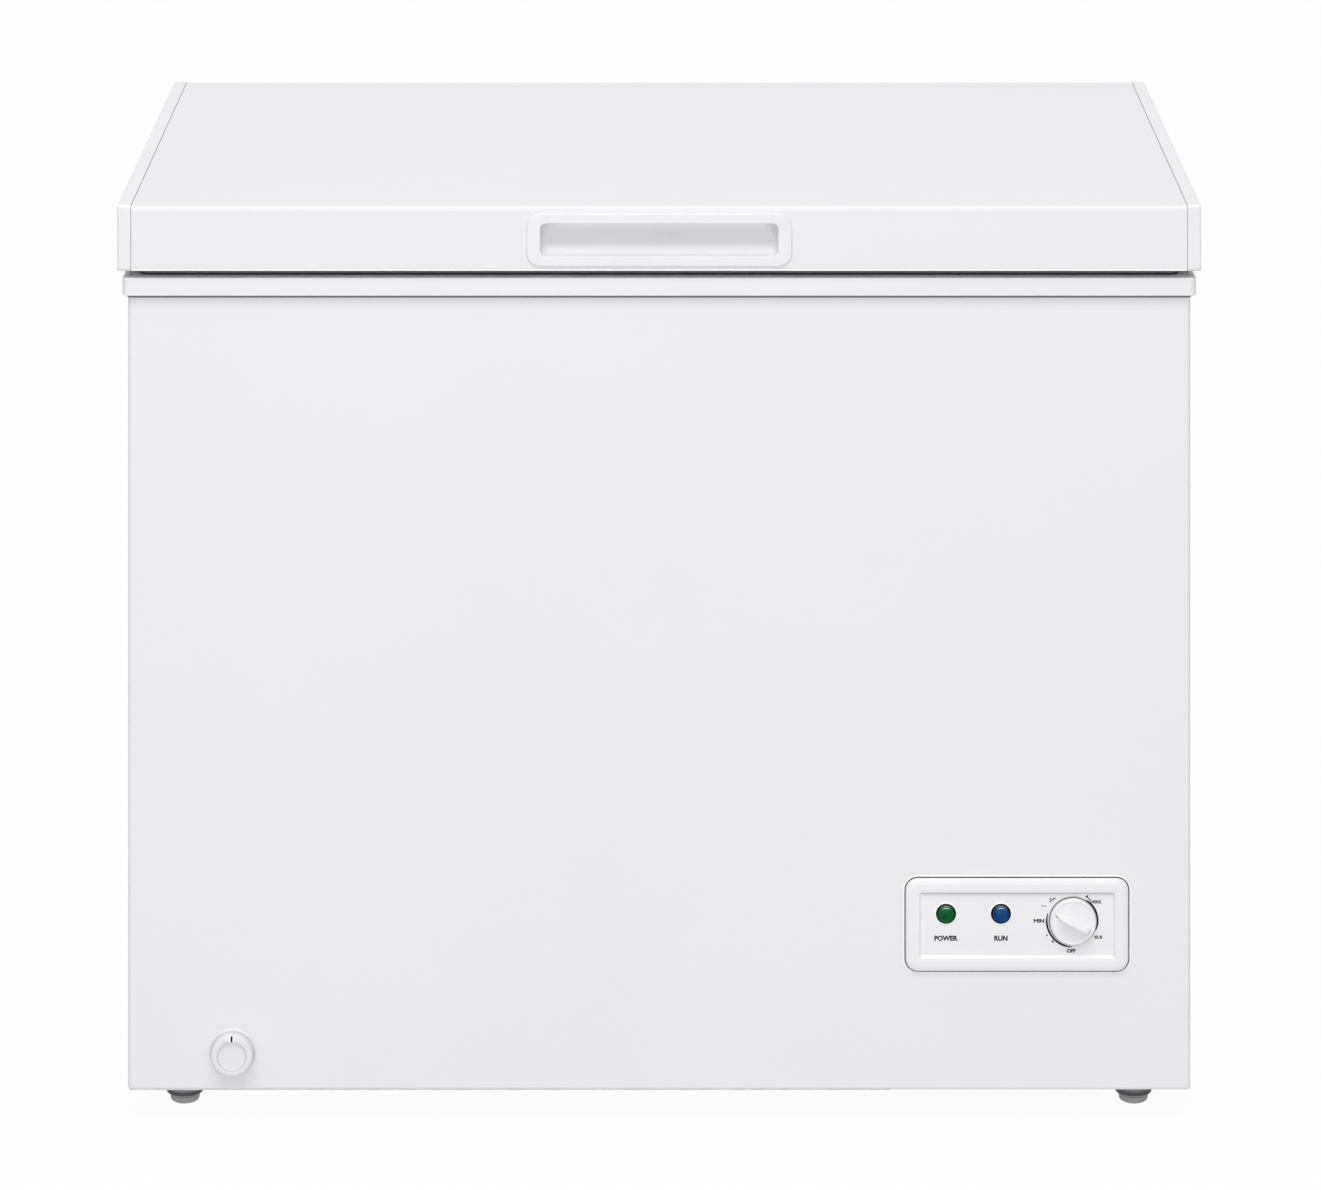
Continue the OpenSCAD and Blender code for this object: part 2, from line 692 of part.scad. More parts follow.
module temperature_knob() {
    skirt = 5;
    grip = 9;
    color(white) translate([knob_x, panel_face - 0.5, knob_z]) rotate([90, 0, 0]) difference() {
        union() {
            cylinder(r = knob_d / 2, h = skirt);
            translate([0, 0, skirt]) cylinder(r1 = knob_d / 2, r2 = knob_d / 2 - 2, h = 1.5);
            translate([0, 0, skirt]) rotate([0, 0, knob_pointer]) linear_extrude(front_reach - 2 - skirt) {
                square([knob_d - 14, grip], center = true);
                for (x = [-1, 1]) translate([x * (knob_d / 2 - 7), 0]) circle(grip / 2);
            }
        }
        translate([0, 0, -1]) cylinder(r = shaft_r, h = front_reach - 3.5);
        translate([0, 0, -1]) cylinder(r = 8, h = 4);
    }
}

// ---- Drain ----

module drain_elbow() {
    color([0.85, 0.85, 0.86]) difference() {
        union() {
            drain_body(0);
            translate([drain_x, drain_y, tub_z - sheet_t - 4]) cylinder(r = pipe_r + 3, h = 4);
        }
        bar_y(drain_x, drain_z, pipe_r + run_fit, front_y, drain_y + 12);
        translate([drain_x, drain_y, drain_z]) cylinder(r = pipe_r, h = 50);
    }
}

module drain_flange() {
    color(white) difference() {
        union() {
            bar_y(drain_x, drain_z, drain_flange_d / 2, front_y - 2.5, front_y);
            bar_y(drain_x, drain_z, 14.3, front_y - 1, front_y + 1.2);
        }
        bar_y(drain_x, drain_z, pipe_r + run_fit, front_y - 5, front_y + 5);
    }
}

module drain_pipe() {
    color([0.8, 0.8, 0.82]) difference() {
        bar_y(drain_x, drain_z, pipe_r, front_y - 8, drain_y - 14);
        bar_y(drain_x, drain_z, pipe_r - 2, front_y - 10, drain_y);
    }
}

module drain_cap() {
    outer = front_y - 12.5;
    color(white) difference() {
        bar_y(drain_x, drain_z, drain_cap_d / 2, outer, front_y - 3);
        bar_y(drain_x, drain_z, 13, outer - 1, outer + 1.5);
        bar_y(drain_x, drain_z, pipe_r + run_fit, front_y - 8.2, front_y);
        for (s = [-1, 1]) translate([drain_x + s * drain_cap_d / 2, outer, drain_z])
            cube([3, 6, 5], center = true);
    }
}

module tub_drain_plug() {
    color([0.3, 0.3, 0.32]) translate([drain_x, drain_y, tub_z]) {
        translate([0, 0, -14]) cylinder(r1 = pipe_r - 1.4, r2 = pipe_r - 0.4, h = 14);
        cylinder(r = 16, h = 3);
        difference() {
            translate([-8, -1.5, 0]) cube([16, 3, 15]);
            translate([0, 0, 8]) rotate([90, 0, 0]) cylinder(r = 4, h = 10, center = true);
        }
    }
}

// ---- Hinges ----

module hinge_bracket(x) {
    color("silver") translate([x, 0, 0]) difference() {
        union() {
            span([-30, back_y, 676], [30, back_y + 2.5, cabinet_z1 - 3]);
            for (s = [-1, 1])
                span([s * 25.5 - 1.5, back_y + 2, 700], [s * 25.5 + 1.5, back_y + 22, cabinet_z1 - 1]);
            span([-27, back_y + 20, 700], [27, back_y + 22, 760]);
            for (s = [-1, 1]) {
                span([s * 25.5 - 1.5, pin_y - ear_r, cabinet_z1 - 2], [s * 25.5 + 1.5, pin_y + ear_r, pin_z]);
                bar_x(pin_y, pin_z, ear_r, s * 25.5 - 1.5, s * 25.5 + 1.5);
            }
        }
        bar_x(pin_y, pin_z, pin_d / 2 + run_fit, -40, 40);
        for (sx = [-1, 1], z = [684, 752]) bar_y(sx * 12, z, 2.6, back_y - 1, back_y + 3);
    }
}
module hinge_bracket_left() { hinge_bracket(-hinge_x); }
module hinge_bracket_right() { hinge_bracket(hinge_x); }

module hinge_pins() {
    color("silver") for (x = [-hinge_x, hinge_x]) {
        bar_x(pin_y, pin_z, pin_d / 2, x - 28, x + 29);
        bar_x(pin_y, pin_z, pin_d / 2 + 1.5, x - 30, x - 28);
    }
}

module hinge_springs() {
    turns = 5;
    steps = 10;
    mean_r = 5;
    color([0.45, 0.45, 0.48]) for (x = [-hinge_x, hinge_x], s = [-1, 1]) {
        coil = [
            for (i = [0:turns * steps]) let (a = 360 * i / steps)
                [x + s * (13.2 + 9.4 * i / (turns * steps)), pin_y + mean_r * cos(a), pin_z + mean_r * sin(a)]
        ];
        tube(concat([[x + s * 13.2, pin_y + mean_r, pin_z - 30]], coil), 0.8, 6);
    }
}

module hinge_bracket_screws() {
    color("silver") for (x = [-hinge_x, hinge_x], sx = [-1, 1], z = [684, 752]) {
        bar_y(x + sx * 12, z, 2.5, back_y, back_y + 2.6);
        bar_y(x + sx * 12, z, 4.5, back_y + 2.5, back_y + 4.5);
    }
}

module hinge_leaf(x) {
    color("silver") translate([x, 0, 0]) difference() {
        union() {
            span([-20, lid_y1, pin_z + 2], [20, lid_y1 + 2.5, lid_z0 + 46]);
            span([-12, lid_y1, pin_z], [12, pin_y, pin_z + ear_r - 0.5]);
            bar_x(pin_y, pin_z, ear_r - 0.5, -12, 12);
        }
        bar_x(pin_y, pin_z, pin_d / 2 + run_fit, -30, 30);
        for (sx = [-1, 1], z = [18, 38]) bar_y(sx * 12, lid_z0 + z, 2.6, lid_y1 - 1, lid_y1 + 3);
    }
}
module hinge_leaf_left() { hinge_leaf(-hinge_x); }
module hinge_leaf_right() { hinge_leaf(hinge_x); }

module hinge_leaf_screws() {
    color("silver") for (x = [-hinge_x, hinge_x], sx = [-1, 1], z = [18, 38]) {
        bar_y(x + sx * 12, lid_z0 + z, 2.5, lid_y1, lid_y1 + 2.6);
        bar_y(x + sx * 12, lid_z0 + z, 4.5, lid_y1 + 2.5, lid_y1 + 4.5);
    }
}

// ---- Lid ----

// Side outline of the lid, y across and z up, grown inwards by g, with bent top edges
module lid_outline(g, r) {
    y0 = lid_y0 + g;
    y1 = lid_y1 - g;
    z1 = lid_z1 - 1 - g;
    translate([y0, lid_z0 + g]) square([y1 - y0, z1 - r - lid_z0 - g]);
    translate([y0 + r, lid_z0 + g]) square([y1 - y0 - 2 * r, z1 - lid_z0 - g]);
    for (y = [y0 + r, y1 - r]) translate([y, z1 - r]) circle(r);
}

// Upright outline in y and z, extruded along X from x0 to x1
module along_x(x0, x1) {
    translate([x0, 0, 0]) rotate([90, 0, 90]) linear_extrude(x1 - x0) children();
}

module lid_outer_shell() {
    return_w = 12;
    color(white) difference() {
        along_x(-shell_x, shell_x) lid_outline(0, bend_r);
        along_x(-shell_x - 1, shell_x + 1) lid_outline(sheet_t, bend_r - sheet_t);
        span([-shell_x - 1, lid_y0 + return_w, lid_z0 - 1], [shell_x + 1, lid_y1 - return_w, lid_z0 + 5]);
        front_plate(0, handle_z, recess_w + 8, recess_h + 8, 5, lid_y0 - 5, lid_y0 + 5);
    }
}

module lid_end_cap(s) {
    tongue = 8;
    color(off_white) difference() {
        union() {
            along_x(s > 0 ? shell_x : -lid_w / 2, s > 0 ? lid_w / 2 : -shell_x) cap_outline();
            along_x(s > 0 ? shell_x - tongue : -shell_x, s > 0 ? shell_x : -shell_x + tongue)
                lid_outline(sheet_t + 0.3, bend_r - sheet_t);
        }
        along_x(s > 0 ? shell_x - 10 : -shell_x - cap_w + 3, s > 0 ? shell_x + cap_w - 3 : -shell_x + 10)
            lid_outline(sheet_t + 2.5, bend_r - sheet_t);
    }
}

// Outline of an end cap: a little taller than the sheet, with small round corners
module cap_outline() {
    r = 3;
    y = [lid_y0, lid_y1];
    z = [lid_z0 - 1.5, lid_z1];
    translate([y[0] + r, z[0]]) square([y[1] - y[0] - 2 * r, z[1] - z[0]]);
    translate([y[0], z[0] + r]) square([y[1] - y[0], z[1] - z[0] - 2 * r]);
    for (cy = [y[0] + r, y[1] - r], cz = [z[0] + r, z[1] - r]) translate([cy, cz]) circle(r);
}
module lid_end_cap_left() { lid_end_cap(-1); }
module lid_end_cap_right() { lid_end_cap(1); }

// Block of the raised plug under the lid, grown inwards by g
module plug_block(g, z1) {
    round_block([-tub_x + plug_in + g, tub_y0 + plug_in + g, lid_z0 - plug_drop + g],
        [tub_x - plug_in - g, tub_y1 - plug_in - g, z1], tub_r);
}

module lid_inner_panel() {
    y0 = lid_y0 + 12.2;
    y1 = lid_y1 - 12.2;
    color(off_white) difference() {
        union() {
            span([-shell_x + 8.2, y0, lid_z0], [shell_x - 8.2, y1, lid_z0 + panel_t]);
            plug_block(0, lid_z0 + panel_t);
        }
        plug_block(panel_t, lid_z0 + 10);
    }
}

module lid_foam() {
    x1 = shell_x - 8.2;
    color(foam_colour) difference() {
        union() {
            span([-x1, lid_y0 + 2, lid_z0 + panel_t], [x1, lid_y1 - 2, lid_z1 - 8]);
            span([-x1, lid_y0 + 8, lid_z0 + panel_t], [x1, lid_y1 - 8, lid_z1 - 2]);
            plug_block(panel_t, lid_z0 + 3);
        }
        front_plate(0, handle_z, recess_w + 8, recess_h + 8, 5, lid_y0 - 5, lid_y0 + recess_deep + 3);
    }
}

// Flat ring round the tub's mouth between two heights, inset and ring width given
module gasket_ring(inset, w, z0, z1) {
    x = half_w - 10 - inset;
    y0 = front_y + 6 + inset;
    y1 = back_y - 6 - inset;
    difference() {
        round_block([-x, y0, z0], [x, y1, z1], 8);
        round_block([-x + w, y0 + w, z0 - 1], [x - w, y1 - w, z1 + 1], 3);
    }
}

module lid_gasket() {
    z0 = collar_z1 + 0.2;
    color([0.25, 0.25, 0.27]) {
        gasket_ring(0, 20, lid_z0 - 2.5, lid_z0);
        gasket_ring(2.5, 15, z0 + 2, lid_z0 - 2);
        gasket_ring(0, 20, z0, z0 + 2.5);
    }
}

module lid_handle() {
    y0 = lid_y0 - handle_out;
    y1 = lid_y0 + recess_deep + 2.5;
    color(white) difference() {
        union() {
            front_plate(0, handle_z, handle_w, handle_h, 13, y0, lid_y0);
            front_plate(0, handle_z, recess_w + 5, recess_h + 5, 5, lid_y0 - 1, y1);
        }
        front_plate(0, handle_z, recess_w, recess_h, 5, y0 - 1, y1 - 2.5);
    }
}

// ---- Basket ----

module storage_basket() {
    rail_y = [tub_y0 - 4, tub_y1 + 4];
    low_z = rail_z - basket_h;
    thin = 1.5;
    bays = 6;
    levels = 3;
    lanes = 8;
    end_x = [basket_x0 + 3, basket_x1 - 3];
    color(white) {
        for (y = rail_y) wire([basket_x0, y, rail_z], [basket_x1, y, rail_z], 3);
        for (i = [0:bays]) let (x = basket_x0 + 3 + i * (basket_w - 6) / bays) {
            wire([x, basket_y[0], low_z], [x, basket_y[1], low_z], thin);
            for (e = [0, 1]) {
                wire([x, min(rail_y[e], basket_y[e]), rail_z], [x, max(rail_y[e], basket_y[e]), rail_z], thin);
                wire([x, basket_y[e], low_z - thin], [x, basket_y[e], rail_z + thin], thin);
            }
        }
        for (k = [0:levels]) let (z = low_z + k * basket_h / levels) {
            for (y = basket_y) wire([basket_x0, y, z], [basket_x1, y, z], thin + 0.5);
            for (x = end_x) wire([x, basket_y[0], z], [x, basket_y[1], z], thin + 0.5);
        }
        for (j = [1:lanes - 1]) let (y = basket_y[0] + j * (basket_y[1] - basket_y[0]) / lanes) {
            wire([basket_x0, y, low_z], [basket_x1, y, low_z], thin);
            for (x = end_x) wire([x, y, low_z - thin], [x, y, rail_z + thin], thin);
        }
        for (y = basket_y) {
            for (s = [-1, 1])
                wire([basket_mid + s * grip_reach, y, rail_z], [basket_mid + s * grip_reach, y, grip_z + 2], 2);
            wire([basket_mid - grip_reach, y, grip_z], [basket_mid + grip_reach, y, grip_z], 2);
        }
    }
}

module basket_grips() {
    color([0.2, 0.35, 0.6]) for (y = basket_y) difference() {
        bar_x(y, grip_z, 5, basket_mid - 50, basket_mid + 50);
        bar_x(y, grip_z, 3, basket_mid - 60, basket_mid + 60);
    }
}

// ---- Feet ----

module foot(x, y) {
    color([0.42, 0.43, 0.44]) translate([x, y, 0]) {
        rotate_extrude() {
            square([foot_d / 2 - 3, 24]);
            translate([0, 3]) square([foot_d / 2, 21]);
            translate([foot_d / 2 - 3, 3]) circle(3);
            translate([0, 23.5]) square([foot_flange_d / 2, cabinet_z0 - 23.5]);
        }
        cylinder(r = 4, h = stud_top);
    }
}
module foot_front_left() { foot(-foot_x, front_y + foot_inset); }
module foot_front_right() { foot(foot_x, front_y + foot_inset); }
module foot_rear_left() { foot(-foot_x, back_y - foot_inset); }
module foot_rear_right() { foot(foot_x, back_y - foot_inset); }

outer_wrap();
back_panel();
bottom_pan();
inner_liner();
foam_insulation();
compressor_bulkhead();
top_collar();
base_rail_left();
base_rail_right();
evaporator_tube();
condenser_tube();
compressor_lower_shell();
compressor_upper_shell();
compressor_grommets();
compressor_nuts();
compressor_base_plate();
terminal_cover();
start_relay();
filter_drier();
suction_line();
discharge_line();
capillary_tube();
rear_grille();
grille_screws();
thermostat_body();
control_panel();
control_box();
power_lens();
run_lens();
indicator_lamps();
wiring_harness();
cord_gland();
drain_elbow();
drain_flange();
hinge_bracket_left();
hinge_bracket_right();
hinge_pins();
hinge_springs();
hinge_bracket_screws();
lid_outer_shell();
lid_end_cap_left();
lid_end_cap_right();
lid_inner_panel();
lid_foam();
lid_gasket();
lid_handle();
hinge_leaf_left();
hinge_leaf_right();
hinge_leaf_screws();
temperature_knob();
thermostat_shaft();
drain_pipe();
drain_cap();
tub_drain_plug();
storage_basket();
basket_grips();
foot_front_left();
foot_front_right();
foot_rear_left();
foot_rear_right();
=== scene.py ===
"""Looks of a white chest freezer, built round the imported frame. Metres, +X right, -Y front, +Z up."""

import math
from collections import namedtuple

import bmesh
import bpy
from mathutils import Matrix, Vector


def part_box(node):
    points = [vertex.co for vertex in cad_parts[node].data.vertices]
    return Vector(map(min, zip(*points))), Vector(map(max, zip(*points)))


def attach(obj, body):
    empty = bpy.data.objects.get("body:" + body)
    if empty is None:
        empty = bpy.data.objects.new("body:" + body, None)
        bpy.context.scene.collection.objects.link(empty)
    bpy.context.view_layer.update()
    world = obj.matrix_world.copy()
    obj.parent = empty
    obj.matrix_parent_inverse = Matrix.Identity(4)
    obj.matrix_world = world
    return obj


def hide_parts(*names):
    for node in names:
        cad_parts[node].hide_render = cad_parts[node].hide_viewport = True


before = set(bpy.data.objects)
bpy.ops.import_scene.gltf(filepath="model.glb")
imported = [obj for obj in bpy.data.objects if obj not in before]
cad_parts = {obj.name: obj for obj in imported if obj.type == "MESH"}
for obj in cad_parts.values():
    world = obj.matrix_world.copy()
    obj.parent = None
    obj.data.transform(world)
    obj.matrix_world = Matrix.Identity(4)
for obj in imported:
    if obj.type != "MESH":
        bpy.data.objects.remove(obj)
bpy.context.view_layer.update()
MM = 0.001
SHEET = 1 * MM


# ---- Shape tools ----

CORNER_STEPS = 8


def round_rect(w, h, r):
    """Points round a rectangle with round corners, anticlockwise, centred on the origin."""
    r = max(min(r, w / 2 - 1e-6, h / 2 - 1e-6), 1e-5)
    out = []
    for quarter, (sx, sy) in enumerate(((1, 1), (-1, 1), (-1, -1), (1, -1))):
        for k in range(CORNER_STEPS + 1):
            a = math.pi / 2 * (quarter + k / CORNER_STEPS)
            out.append((sx * (w / 2 - r) + r * math.cos(a), sy * (h / 2 - r) + r * math.sin(a)))
    return out


def on_front(x, y, z):
    """Places a flat ring on a plane that faces the front: height grows towards the front."""
    return lambda u, v, h: (x + u, y - h, z + v)


def on_back(x, y, z):
    """The same for a plane that faces the back."""
    return lambda u, v, h: (x - u, y + h, z + v)


def upright(x, y, z):
    """Places a flat ring level, with its height up the object."""
    return lambda u, v, h: (x + u, y + v, z + h)


def add_mesh(name, verts, faces, material, body, node=None, sharp=35, bevel=0.0):
    """A mesh piece that rides on a body and may stand for one CAD node or several."""
    mesh = bpy.data.meshes.new(name)
    mesh.from_pydata([tuple(v) for v in verts], [], faces)
    mesh.validate()
    mesh.update()
    piece = bpy.data.objects.new(name, mesh)
    bpy.context.scene.collection.objects.link(piece)
    return dress(piece, material, body, node, sharp, bevel)


PIECES = []


def soften_edges(piece, width, angle):
    """Rounds the edges that are sharper than `angle` degrees."""
    soft = piece.modifiers.new("soft_edges", "BEVEL")
    soft.width = width
    soft.segments = 2
    soft.limit_method = "ANGLE"
    soft.angle_limit = math.radians(angle)
    return soft


def dress(piece, material, body, node=None, sharp=35, bevel=0.0):
    """Gives a piece its shading, its material and its body, and hides the CAD nodes that it stands for."""
    PIECES.append(piece)
    work = bmesh.new()
    work.from_mesh(piece.data)
    bmesh.ops.remove_doubles(work, verts=work.verts, dist=1e-7)
    bmesh.ops.recalc_face_normals(work, faces=work.faces)
    for face in work.faces:
        face.smooth = True
    work.to_mesh(piece.data)
    work.free()
    piece.data.set_sharp_from_angle(angle=math.radians(sharp))
    if bevel:
        soften_edges(piece, bevel, 40).harden_normals = True
    piece.data.materials.clear()
    piece.data.materials.append(material)
    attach(piece, body)
    for one in [node] if isinstance(node, str) else (node or []):
        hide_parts(one)
    return piece


def loft(rings, caps=True, loop=False):
    """Vertices and faces of a skin over rings that have the same number of points."""
    n = len(rings[0])
    verts = [p for ring in rings for p in ring]
    faces = []
    for i in range(len(rings) if loop else len(rings) - 1):
        j = (i + 1) % len(rings)
        faces += [(i * n + k, i * n + (k + 1) % n, j * n + (k + 1) % n, j * n + k) for k in range(n)]
    if caps and not loop:
        faces.append(tuple(reversed(range(n))))
        faces.append(tuple(range((len(rings) - 1) * n, len(rings) * n)))
    return verts, faces


def near(out, level, *pairs):
    """Profile points given in millimetres from the point (out, level)."""
    return [(out + a * MM, level + b * MM) for a, b in pairs]


def turned(profile, place, steps):
    """Rings of a turned shape: each profile point is (radius, height)."""
    return [
        [place(r * math.cos(2 * math.pi * k / steps), r * math.sin(2 * math.pi * k / steps), up)
         for k in range(steps)]
        for r, up in profile
    ]


def joined(*parts):
    """One set of vertices and faces from several."""
    verts, faces = [], []
    for part_verts, part_faces in parts:
        start = len(verts)
        verts += list(part_verts)
        faces += [tuple(start + i for i in face) for face in part_faces]
    return verts, faces


def prism(outline, axis, lo, hi):
    """An outline in the plane across `axis` (x or y), drawn out from lo to hi."""
    if axis == "x":
        rings = [[(at, a, b) for a, b in outline] for at in (lo, hi)]
    else:
        rings = [[(a, at, b) for a, b in outline] for at in (lo, hi)]
    return loft(rings)


def spun(name, profile, place, steps, material, body, node=None, sharp=50, loop=False):
    """A mesh piece turned from a profile of (radius, height)."""
    verts, faces = loft(turned(profile, place, steps), loop=loop)
    return add_mesh(name, verts, faces, material, body, node, sharp)


# ---- Materials ----


class Nodes:
    """Short names for the nodes that the materials share."""

    def __init__(self, name, slot=None):
        """A new material; the slot is not used."""
        self.material = bpy.data.materials.new(name)
        self.material.use_nodes = True
        self.tree = self.material.node_tree
        self.shader = self.tree.nodes["Principled BSDF"]
        self.place = self.tree.nodes.new("ShaderNodeTexCoord").outputs["Object"]

    def link(self, a, b):
        self.tree.links.new(a, b)

    def set(self, **values):
        """Sets constants on the shader; spaces in a socket's name are written as underscores."""
        for key, value in values.items():
            self.shader.inputs[key.replace("_", " ")].default_value = value

    def stretched(self, scale):
        """Object coordinates scaled along each axis."""
        node = self.tree.nodes.new("ShaderNodeMapping")
        node.inputs["Scale"].default_value = scale
        self.link(self.place, node.inputs["Vector"])
        return node.outputs["Vector"]

    def noise(self, scale, detail=3.0, rough=0.55, vector=None):
        """Cloudy values from 0 to 1."""
        node = self.tree.nodes.new("ShaderNodeTexNoise")
        node.inputs["Scale"].default_value = scale
        node.inputs["Detail"].default_value = detail
        node.inputs["Roughness"].default_value = rough
        self.link(vector or self.place, node.inputs["Vector"])
        return node.outputs["Fac"]

    def cells(self, scale, output="Color"):
        """Cells with a colour each, or the distance from their middles."""
        node = self.tree.nodes.new("ShaderNodeTexVoronoi")
        node.inputs["Scale"].default_value = scale
        self.link(self.place, node.inputs["Vector"])
        return node.outputs[output]

    def ramp(self, fac, stops):
        """Colours in place of values, from stops of (position, colour)."""
        node = self.tree.nodes.new("ShaderNodeValToRGB")
        ramp = node.color_ramp
        while len(ramp.elements) < len(stops):
            ramp.elements.new(0.5)
        for element, (at, colour) in zip(ramp.elements, stops):
            element.position = at
            element.color = (*colour, 1.0)
        self.link(fac, node.inputs["Fac"])
        return node.outputs["Color"]

    def span(self, fac, low, high):
        """Values of 0 to 1 spread from low to high."""
        node = self.tree.nodes.new("ShaderNodeMapRange")
        node.inputs["To Min"].default_value = low
        node.inputs["To Max"].default_value = high
        self.link(fac, node.inputs["Value"])
        return node.outputs["Result"]

    def bump(self, height, strength, distance, under=None):
        """A normal from a height, laid over another normal if one is given."""
        node = self.tree.nodes.new("ShaderNodeBump")
        node.inputs["Strength"].default_value = strength
        node.inputs["Distance"].default_value = distance
        self.link(height, node.inputs["Height"])
        if under:
            self.link(under, node.inputs["Normal"])
        return node.outputs["Normal"]

    def colour(self, output):
        self.link(output, self.shader.inputs["Base Color"])

    def roughness(self, output):
        self.link(output, self.shader.inputs["Roughness"])

    def normal(self, output):
        self.link(output, self.shader.inputs["Normal"])


def shade(colour, k):
    """The colour made k times as bright."""
    return tuple(min(1.0, c * k) for c in colour)


def enamel(name, slot, colour, drift=0.012):
    """Baked enamel on sheet steel: orange peel, faint oil-canning and a thin clear gloss."""
    m = Nodes(name, slot)
    m.set(Coat_Weight=0.25, Coat_Roughness=0.12, Specular_IOR_Level=0.45)
    m.colour(m.ramp(m.noise(2.6, 4.0, 0.6), [
        (0.3, shade(colour, 1 - drift)), (0.7, shade(colour, 1 + drift * 0.5))]))
    m.roughness(m.span(m.noise(35, 2.0), 0.34, 0.44))
    peel = m.bump(m.noise(520, 2.0, 0.5), 0.05, 0.0004)
    m.normal(m.bump(m.noise(3.2, 1.0, 0.4), 0.10, 0.004, peel))
    return m.material


def plastic(name, slot, colour, rough=0.38, grain=0.06, drift=0.015, coat=0.0):
    """Moulded plastic: spark-eroded grain, slight flow marks and handling wear in its gloss."""
    m = Nodes(name, slot)
    m.set(Specular_IOR_Level=0.5, Coat_Weight=coat, Coat_Roughness=0.15)
    flow = m.noise(9, 3.0, 0.6, m.stretched((1, 1, 2.5)))
    m.colour(m.ramp(flow, [(0.3, shade(colour, 1 - drift)), (0.7, shade(colour, 1 + drift))]))
    m.roughness(m.span(m.noise(60, 3.0), rough - 0.05, rough + 0.06))
    m.normal(m.bump(m.noise(1400, 2.0, 0.6), grain, 0.0003))
    return m.material


def galvanised(name, slot):
    """Hot-dipped zinc with its crystal spangle."""
    m = Nodes(name, slot)
    m.set(Metallic=0.75)
    grains = 150
    m.colour(m.ramp(m.cells(grains), [
        (0.15, (0.52, 0.54, 0.555)), (0.5, (0.57, 0.59, 0.60)), (0.9, (0.62, 0.64, 0.65))]))
    m.roughness(m.span(m.noise(140, 3.0), 0.42, 0.58))
    m.normal(m.bump(m.cells(grains, output="Distance"), 0.05, 0.0004))
    return m.material


def metal(name, slot, dark, light, rough):
    """Plated or drawn metal: a fine texture, with stains in colour and gloss."""
    m = Nodes(name, slot)
    m.set(Metallic=1.0)
    m.colour(m.ramp(m.noise(18, 4.0, 0.65), [(0.3, dark), (0.7, light)]))
    lines = m.noise(360, 2.0, 0.5)
    m.roughness(m.span(lines, rough - 0.08, rough + 0.1))
    m.normal(m.bump(lines, 0.12, 0.0002))
    return m.material


def rubber(name, slot, colour, dust=0.5):
    """Soft rubber with pale dust in its pores."""
    m = Nodes(name, slot)
    m.set(Specular_IOR_Level=0.35, Sheen_Weight=0.08, Sheen_Roughness=0.5)
    m.colour(m.ramp(m.noise(26, 5.0, 0.7), [(0.35, colour), (0.8, shade(colour, 1 + dust))]))
    m.roughness(m.span(m.noise(90, 3.0), 0.6, 0.82))
    m.normal(m.bump(m.noise(900, 3.0), 0.15, 0.0003))
    return m.material


def foam_board(name, slot):
    """Cut face of rigid foam with open cells and uneven yellow."""
    m = Nodes(name, slot)
    m.colour(m.ramp(m.noise(14, 5.0, 0.7), [(0.3, (0.74, 0.62, 0.36)), (0.7, (0.86, 0.76, 0.5))]))
    m.set(Roughness=0.9)
    m.normal(m.bump(m.cells(420, output="Distance"), 0.4, 0.0008))
    return m.material


def lens_glass(name, slot, deep, bright):
    """Clear tinted lens with moulded rings inside; its tint varies at random between a deep and a bright
    tint.
    """
    m = Nodes(name, slot)
    m.set(Roughness=0.3, Specular_IOR_Level=0.12, IOR=1.45)
    m.colour(m.ramp(m.noise(160, 2.0), [(0.3, deep), (0.75, bright)]))
    m.normal(m.bump(m.cells(900, output="Distance"), 0.25, 0.0004))
    return m.material


def ink(name, colour, slot=None):
    """Matt print or a deep black socket."""
    m = Nodes(name, slot)
    m.colour(m.ramp(m.noise(700, 3.0), [(0.3, shade(colour, 0.8)), (0.7, shade(colour, 1.3))]))
    m.set(Roughness=0.55, Specular_IOR_Level=0.12)
    return m.material


